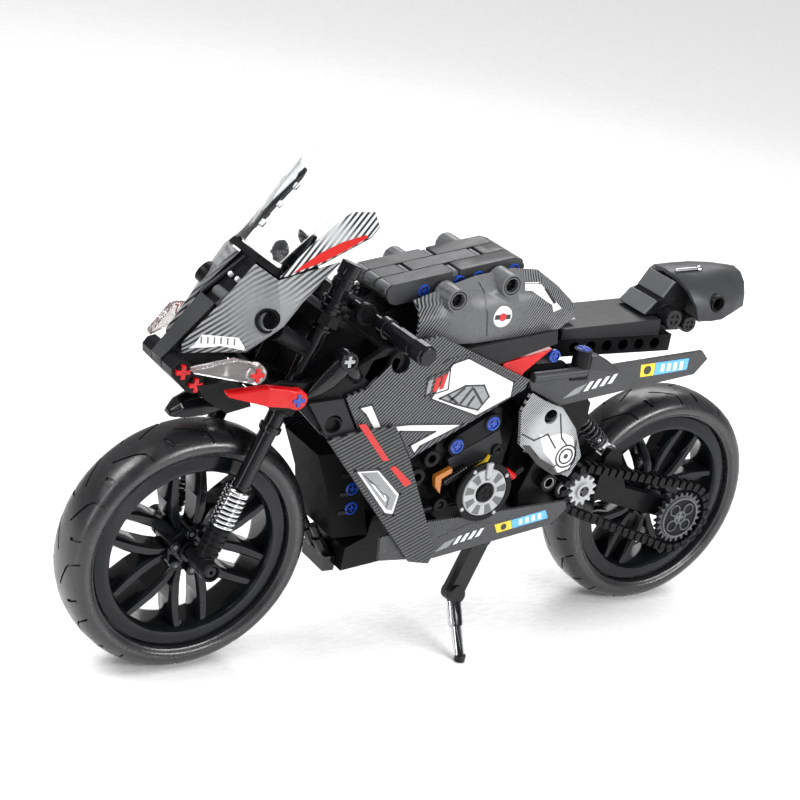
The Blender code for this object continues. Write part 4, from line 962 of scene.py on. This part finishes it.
# ---- tank, seat and tail details
def tank_details():
    both("tank_pins", [pin(12.4, y, z, 2.4)
        for y, z in ((-31, 145.4), (-16.2, 148.4), (-8.2, 150), (7, 152.4))], BLUE)
    spots = ((-23, 145.4), (-0.6, 150.4))
    both("tank_bushes", [bush(22.6, y, z, 3.9, 3) for y, z in spots], BLACK, bevel=0.1)
    # Pale cross-tube ends at the panel holes: painted highlight where the tubes catch the light.
    ends = [rod((12.4, y, z), (15, y, z), 3.6) for y, z in spots]
    both("tank_stubs_painted_highlight", ends, PALE)
    # Grey rolls at the front ends and across the beam slots: painted highlight on the round ends.
    fronts = [rod((x - 3.4, -44.9, 145.6), (x + 3.4, -44.9, 145.6), 2.2) for x in (-8, 0, 8)]
    for x0, x1, y in ((-11.2, -5.2, -18), (5.2, 11.2, -18), (-3.4, 3.4, -33), (-3.4, 3.4, -3)):
        z = 147.9 + 0.183 * (y + 44.4) - 1.7
        fronts.append(rod((x0, y, z), (x1, y, z), 1.5, sides=20))
    piece("tank_front_rolls_painted_highlight", fronts, GREY, bevel=0.1)
    node = "tank_side_left"
    roundel = projected(circle(-2.6, 138.8, 4), node)
    chevron = projected([(6.9, 150.4), (13.6, 150.2), (24.4, 140.6), (20.6, 139.5), (19.4, 142.4),
        (16.8, 143.6), (10, 147.6), (6.6, 147.9)], node)
    both("tank_white_print", [roundel, chevron], WHITE)
    bar = [projected(p, node, 0.24) for p in ([(15.6, 148), (17.2, 148), (21.6, 142.8), (20.2, 142.6)],
        [(-6, 139.6), (-6, 137.8), (0.8, 137.8), (0.8, 139.6)])]
    seam = projected([(-11.7, 150), (-11.3, 150), (-7.8, 131.5), (-8.2, 131.5)], node)
    both("tank_dark_print", [*bar, seam], INK)
    both("tank_red_print", projected(circle(-2.6, 138.7, 1.5), node, 0.34), RED_PRINT)


tank_details()
piece("seat_tile", box((3.6, 37, 129.4), (7.7, 44.6, 130.05)), PALE, bevel=0.2)


def stand_details():
    knee, foot = Vector((20.2, 2.6, 23.4)), Vector((32.3, 3, 0.6))
    down = (foot - knee).normalized()
    leg = [(0, 0), (0, 1.5), (0.4, 1.7), (9.4, 1.7), (9.8, 1.4), (10, 1), (21.2, 0.85), (21.4, 0)]
    twin = [turned(leg, knee + down * 3 + Vector((0, shift, 0)), down, 24) for shift in (-1.35, 1.35)]
    piece("stand_legs", twin, CHROME, body="stand")
    face = knee + X * 1.4
    piece("stand_knee", [ring(face, X, 1.7, 3.6, -0.2, 1), cross(face, X, 1.7, 1, -0.2, 0.9)], BLACK,
        body="stand", bevel=0.1)


stand_details()


def tail_details():
    both("tail_hole_tube", turned([(-6, 0), (-6, 3.4), (-0.4, 3.4), (0.1, 3.2), (0.1, 2.6), (-1, 2.5),
        (-1.4, 2.2), (-5.4, 2.2), (-5.4, 0)], (16.6, 107.4, 137), X, 32), BLACK, bevel=0.1)
    ears = []
    for y, z, r in ((89, 130, 3.9), (97.5, 127.6, 3.3)):
        ears.append(ring((13.2, y, z), X, r * 0.55, r, -0.3, 0.5, 32, 0.2))
        ears.append(cross((13.2, y, z), X, r * 0.55, r * 0.3, -0.3, 0.35))
    both("tail_ear_rings", ears, GLOSS, slot="black_plastic", bevel=0.1)
    piece("tail_slope_tiles", [prism([(85.2, 137.3), (89.5, 144), (91, 143.5), (86.8, 136.4)], -7.9, 7.9),
        prism([(77.2, 130.9), (82.6, 136.2), (84, 135.2), (78.8, 130)], -7.9, 7.9)], GREY, slot="dark_grey",
        bevel=0.3)
    piece("tail_slot_pin", [rod((4, 92.5, 147), (4, 103.6, 147.4), 0.7, sides=14),
        turned([(0, 0), (0, 1.1), (1.2, 1.3), (3.4, 0)], (4, 103.6, 147.3), (0, 1, 0.02), 16)], CHROME)


tail_details()


# ---- nose and screen details
def nose_details():
    band = from_rings([[(-w, y, z), (w, y, z), (w, y + back, z - 0.5), (-w, y + back, z - 0.5)]
        for w, y, z, back in ((3.6, -127, 120.9, 0.4), (5.5, -110.3, 141.1, 0.5))])
    piece("nose_band", band, SATIN, bevel=0.15)
    rails = []
    for side in (-1, 1):
        rails.append(from_rings([[(6.3 * side + dx, y + dy, z + dz)
            for dx, dy, dz in ((-0.8, 0, 0), (0.8, 0, 0), (0.8, 0.7, -0.9), (-0.8, 0.7, -0.9))]
            for y, z in ((-110.2, 141), (-94.8, 153.6))]))
    piece("nose_window_rails", rails, SATIN, bevel=0.15)
    back = prism([(-107.2, 135.4), (-89, 153.6), (-87.8, 152.4), (-106, 134)], -16.5, 16.5)
    piece("nose_window_back", back, BLACK, bevel=0.2)
    piece("nose_window_roll", rod((-4.6, -104.4, 141.6), (4.6, -104.4, 141.6), 2.2, sides=28), GREY,
        slot="dark_grey")
    piece("nose_window_pins", [rod((x, -100.6, 147.6), (x, -101.8, 148.8), 0.9, sides=16)
        for x in (-2.6, 2.6)], WHITE)
    node = "nose_cowl_left"
    badge = [(-119.2, 126.2), (-115.8, 131.6), (-107, 133.8), (-105.6, 130.8), (-112, 129.9)]
    both("nose_badge", projected(badge, node), WHITE)
    lines = [projected([(y, z), (y + 0.35, z), (y + 0.75, z + 2), (y + 0.4, z + 2)], node, 0.22)
        for y, z in zip((-116.6, -115, -113.4, -111.8, -110.2, -108.6),
        (129, 129.5, 130, 130.5, 130.9, 131.3))]
    both("nose_badge_lines", lines, GREY)
    tube = turned([(-4.2, 3.2), (-4.2, 4.1), (-0.4, 4.3), (0.2, 4.1), (0.4, 3.8), (0.4, 3.4), (-0.8, 3.2),
        (-1.2, 2.9), (-1.6, 3.1), (-2, 2.9), (-2.4, 3.1), (-3.6, 2.9), (-3.6, 0), (-4.2, 0)],
        (24.3, -100, 141.6), (0.80, -0.42, 0.42), 40, closed=False)
    stem = rod((22, -95, 137), (19, -80.5, 128.6), 3.4, 3)
    both("nose_ring", [tube, stem], BLACK, bevel=0.1)
    origin, normal = Vector((17.4, -94, 154)), PLATE_NORMAL

    def on_plate(y, z, lift):
        x = origin.x - (normal.y * (y - origin.y) + normal.z * (z - origin.z)) / normal.x
        return Vector((x, y, z)) + normal.normalized() * lift

    def plate_print(outline, *lifts):
        return from_rings([[on_plate(y, z, lift) for y, z in outline] for lift in lifts])

    red = plate_print([(-89.8, 156.4), (-86.8, 159.6), (-81.6, 164.2), (-75.5, 168.6), (-69, 172.2),
        (-68.6, 171.6), (-74, 167.2), (-81, 161.9)], -0.1, 0.14)
    both("plate_red_print", red, RED_PRINT)
    inner = plate_print([(-93.6, 154.2), (-84.1, 165.3), (-75.4, 174.4), (-71.8, 177.8), (-66, 179.2),
        (-65.4, 175.7), (-68, 172.1), (-74.6, 166.9), (-81.9, 161.3), (-90.8, 155.5)], -1.45, -1.75)
    both("plate_backing", inner, MATT, slot="gloss_black")
    studs = []
    for y, z in ((-84, 161.9), (-77, 168.2), (-70.6, 174.2)):
        p = on_plate(y, z, 0)
        studs.append(rod(p - normal * 1.7, p - normal * 3.6, 1.5, sides=20))
    both("plate_studs", studs, CLEAR, bevel=0.1)


nose_details()


# ---- stage, light and camera
FLOOR_HALF = 9
WORLD_LIGHT = 0.36
WORLD_SEEN_EXTRA = 0.62


def area_light(name, location, target, size, size_y, power):
    data = bpy.data.lights.new(name, "AREA")
    data.shape = "RECTANGLE"
    data.size = size
    data.size_y = size_y
    data.energy = power
    obj = add_object(name, data)
    obj.location = location
    obj.rotation_euler = (Vector(target) - Vector(location)).to_track_quat("-Z", "Y").to_euler()


def stage():
    bm = bmesh.new()
    bmesh.ops.create_grid(bm, x_segments=8, y_segments=8, size=FLOOR_HALF)
    floor = to_object("floor", bm)
    floor.location = (0, 0, -0.0003)
    floor.data.materials.append(moulded("floor_white", (0.93, 0.93, 0.93), 0.28, 0.01, 0.01))
    world = bpy.data.worlds.new("studio")
    world.use_nodes = True
    background = world.node_tree.nodes["Background"]
    background.inputs["Color"].default_value = (1, 1, 1, 1)
    seen = add_node(world.node_tree, "LightPath", {}, "Is Camera Ray")
    strength = math_node(world.node_tree, "MULTIPLY_ADD", seen, WORLD_SEEN_EXTRA, WORLD_LIGHT)
    put(world.node_tree, background.inputs["Strength"], strength)
    bpy.context.scene.world = world
    bpy.context.scene.view_settings.view_transform = "Standard"
    data = bpy.data.lights.new("overhead", "SUN")
    data.energy = 2
    data.angle = math.radians(50)
    sun = add_object("overhead", data)
    sun.rotation_euler = (math.radians(-14), math.radians(10), 0)
    sun.visible_glossy = False
    for strip in (("side_strip", (0.75, 0.35, 0.42), (0, 0.02, 0.09), 0.5, 0.12, 5),
            ("front_strip", (-0.1, -0.62, 0.72), (0, -0.1, 0.08), 0.4, 0.3, 5),
            ("back_strip", (-0.5, 0.45, 0.6), (0, 0, 0.1), 0.5, 0.3, 2.5),
            ("left_strip", (0.3, -0.95, 0.4), (0, -0.05, 0.09), 0.07, 0.6, 2),
            ("right_strip", (0.95, 0.1, 0.4), (0, 0.03, 0.09), 0.07, 0.6, 2.2),
            ("ceiling", (-0.35, 0.1, 0.9), (0, 0, 0.1), 0.35, 0.35, 1.8)):
        area_light(*strip)


stage()


CAMERA_TARGET = (0, -0.0239, 0.0972)
CAMERA_DISTANCE = 0.7046
CAMERA_ANGLES = (54.633, 21.574, 10.474)


def camera():
    azimuth, elevation, roll = (math.radians(a) for a in CAMERA_ANGLES)
    back = Vector((math.sin(azimuth) * math.cos(elevation), -math.cos(azimuth) * math.cos(elevation),
        math.sin(elevation)))
    right = Vector((0, 0, 1)).cross(back).normalized()
    up = back.cross(right)
    right, up = (right * math.cos(roll) + up * math.sin(roll), up * math.cos(roll) - right * math.sin(roll))
    matrix = Matrix((right, up, back)).transposed().to_4x4()
    matrix.translation = Vector(CAMERA_TARGET) + back * CAMERA_DISTANCE
    data = bpy.data.cameras.new("camera")
    data.lens = 85.34
    data.sensor_width = 36
    data.clip_start = 0.01
    obj = add_object("camera", data)
    obj.matrix_world = matrix
    bpy.context.scene.camera = obj


camera()
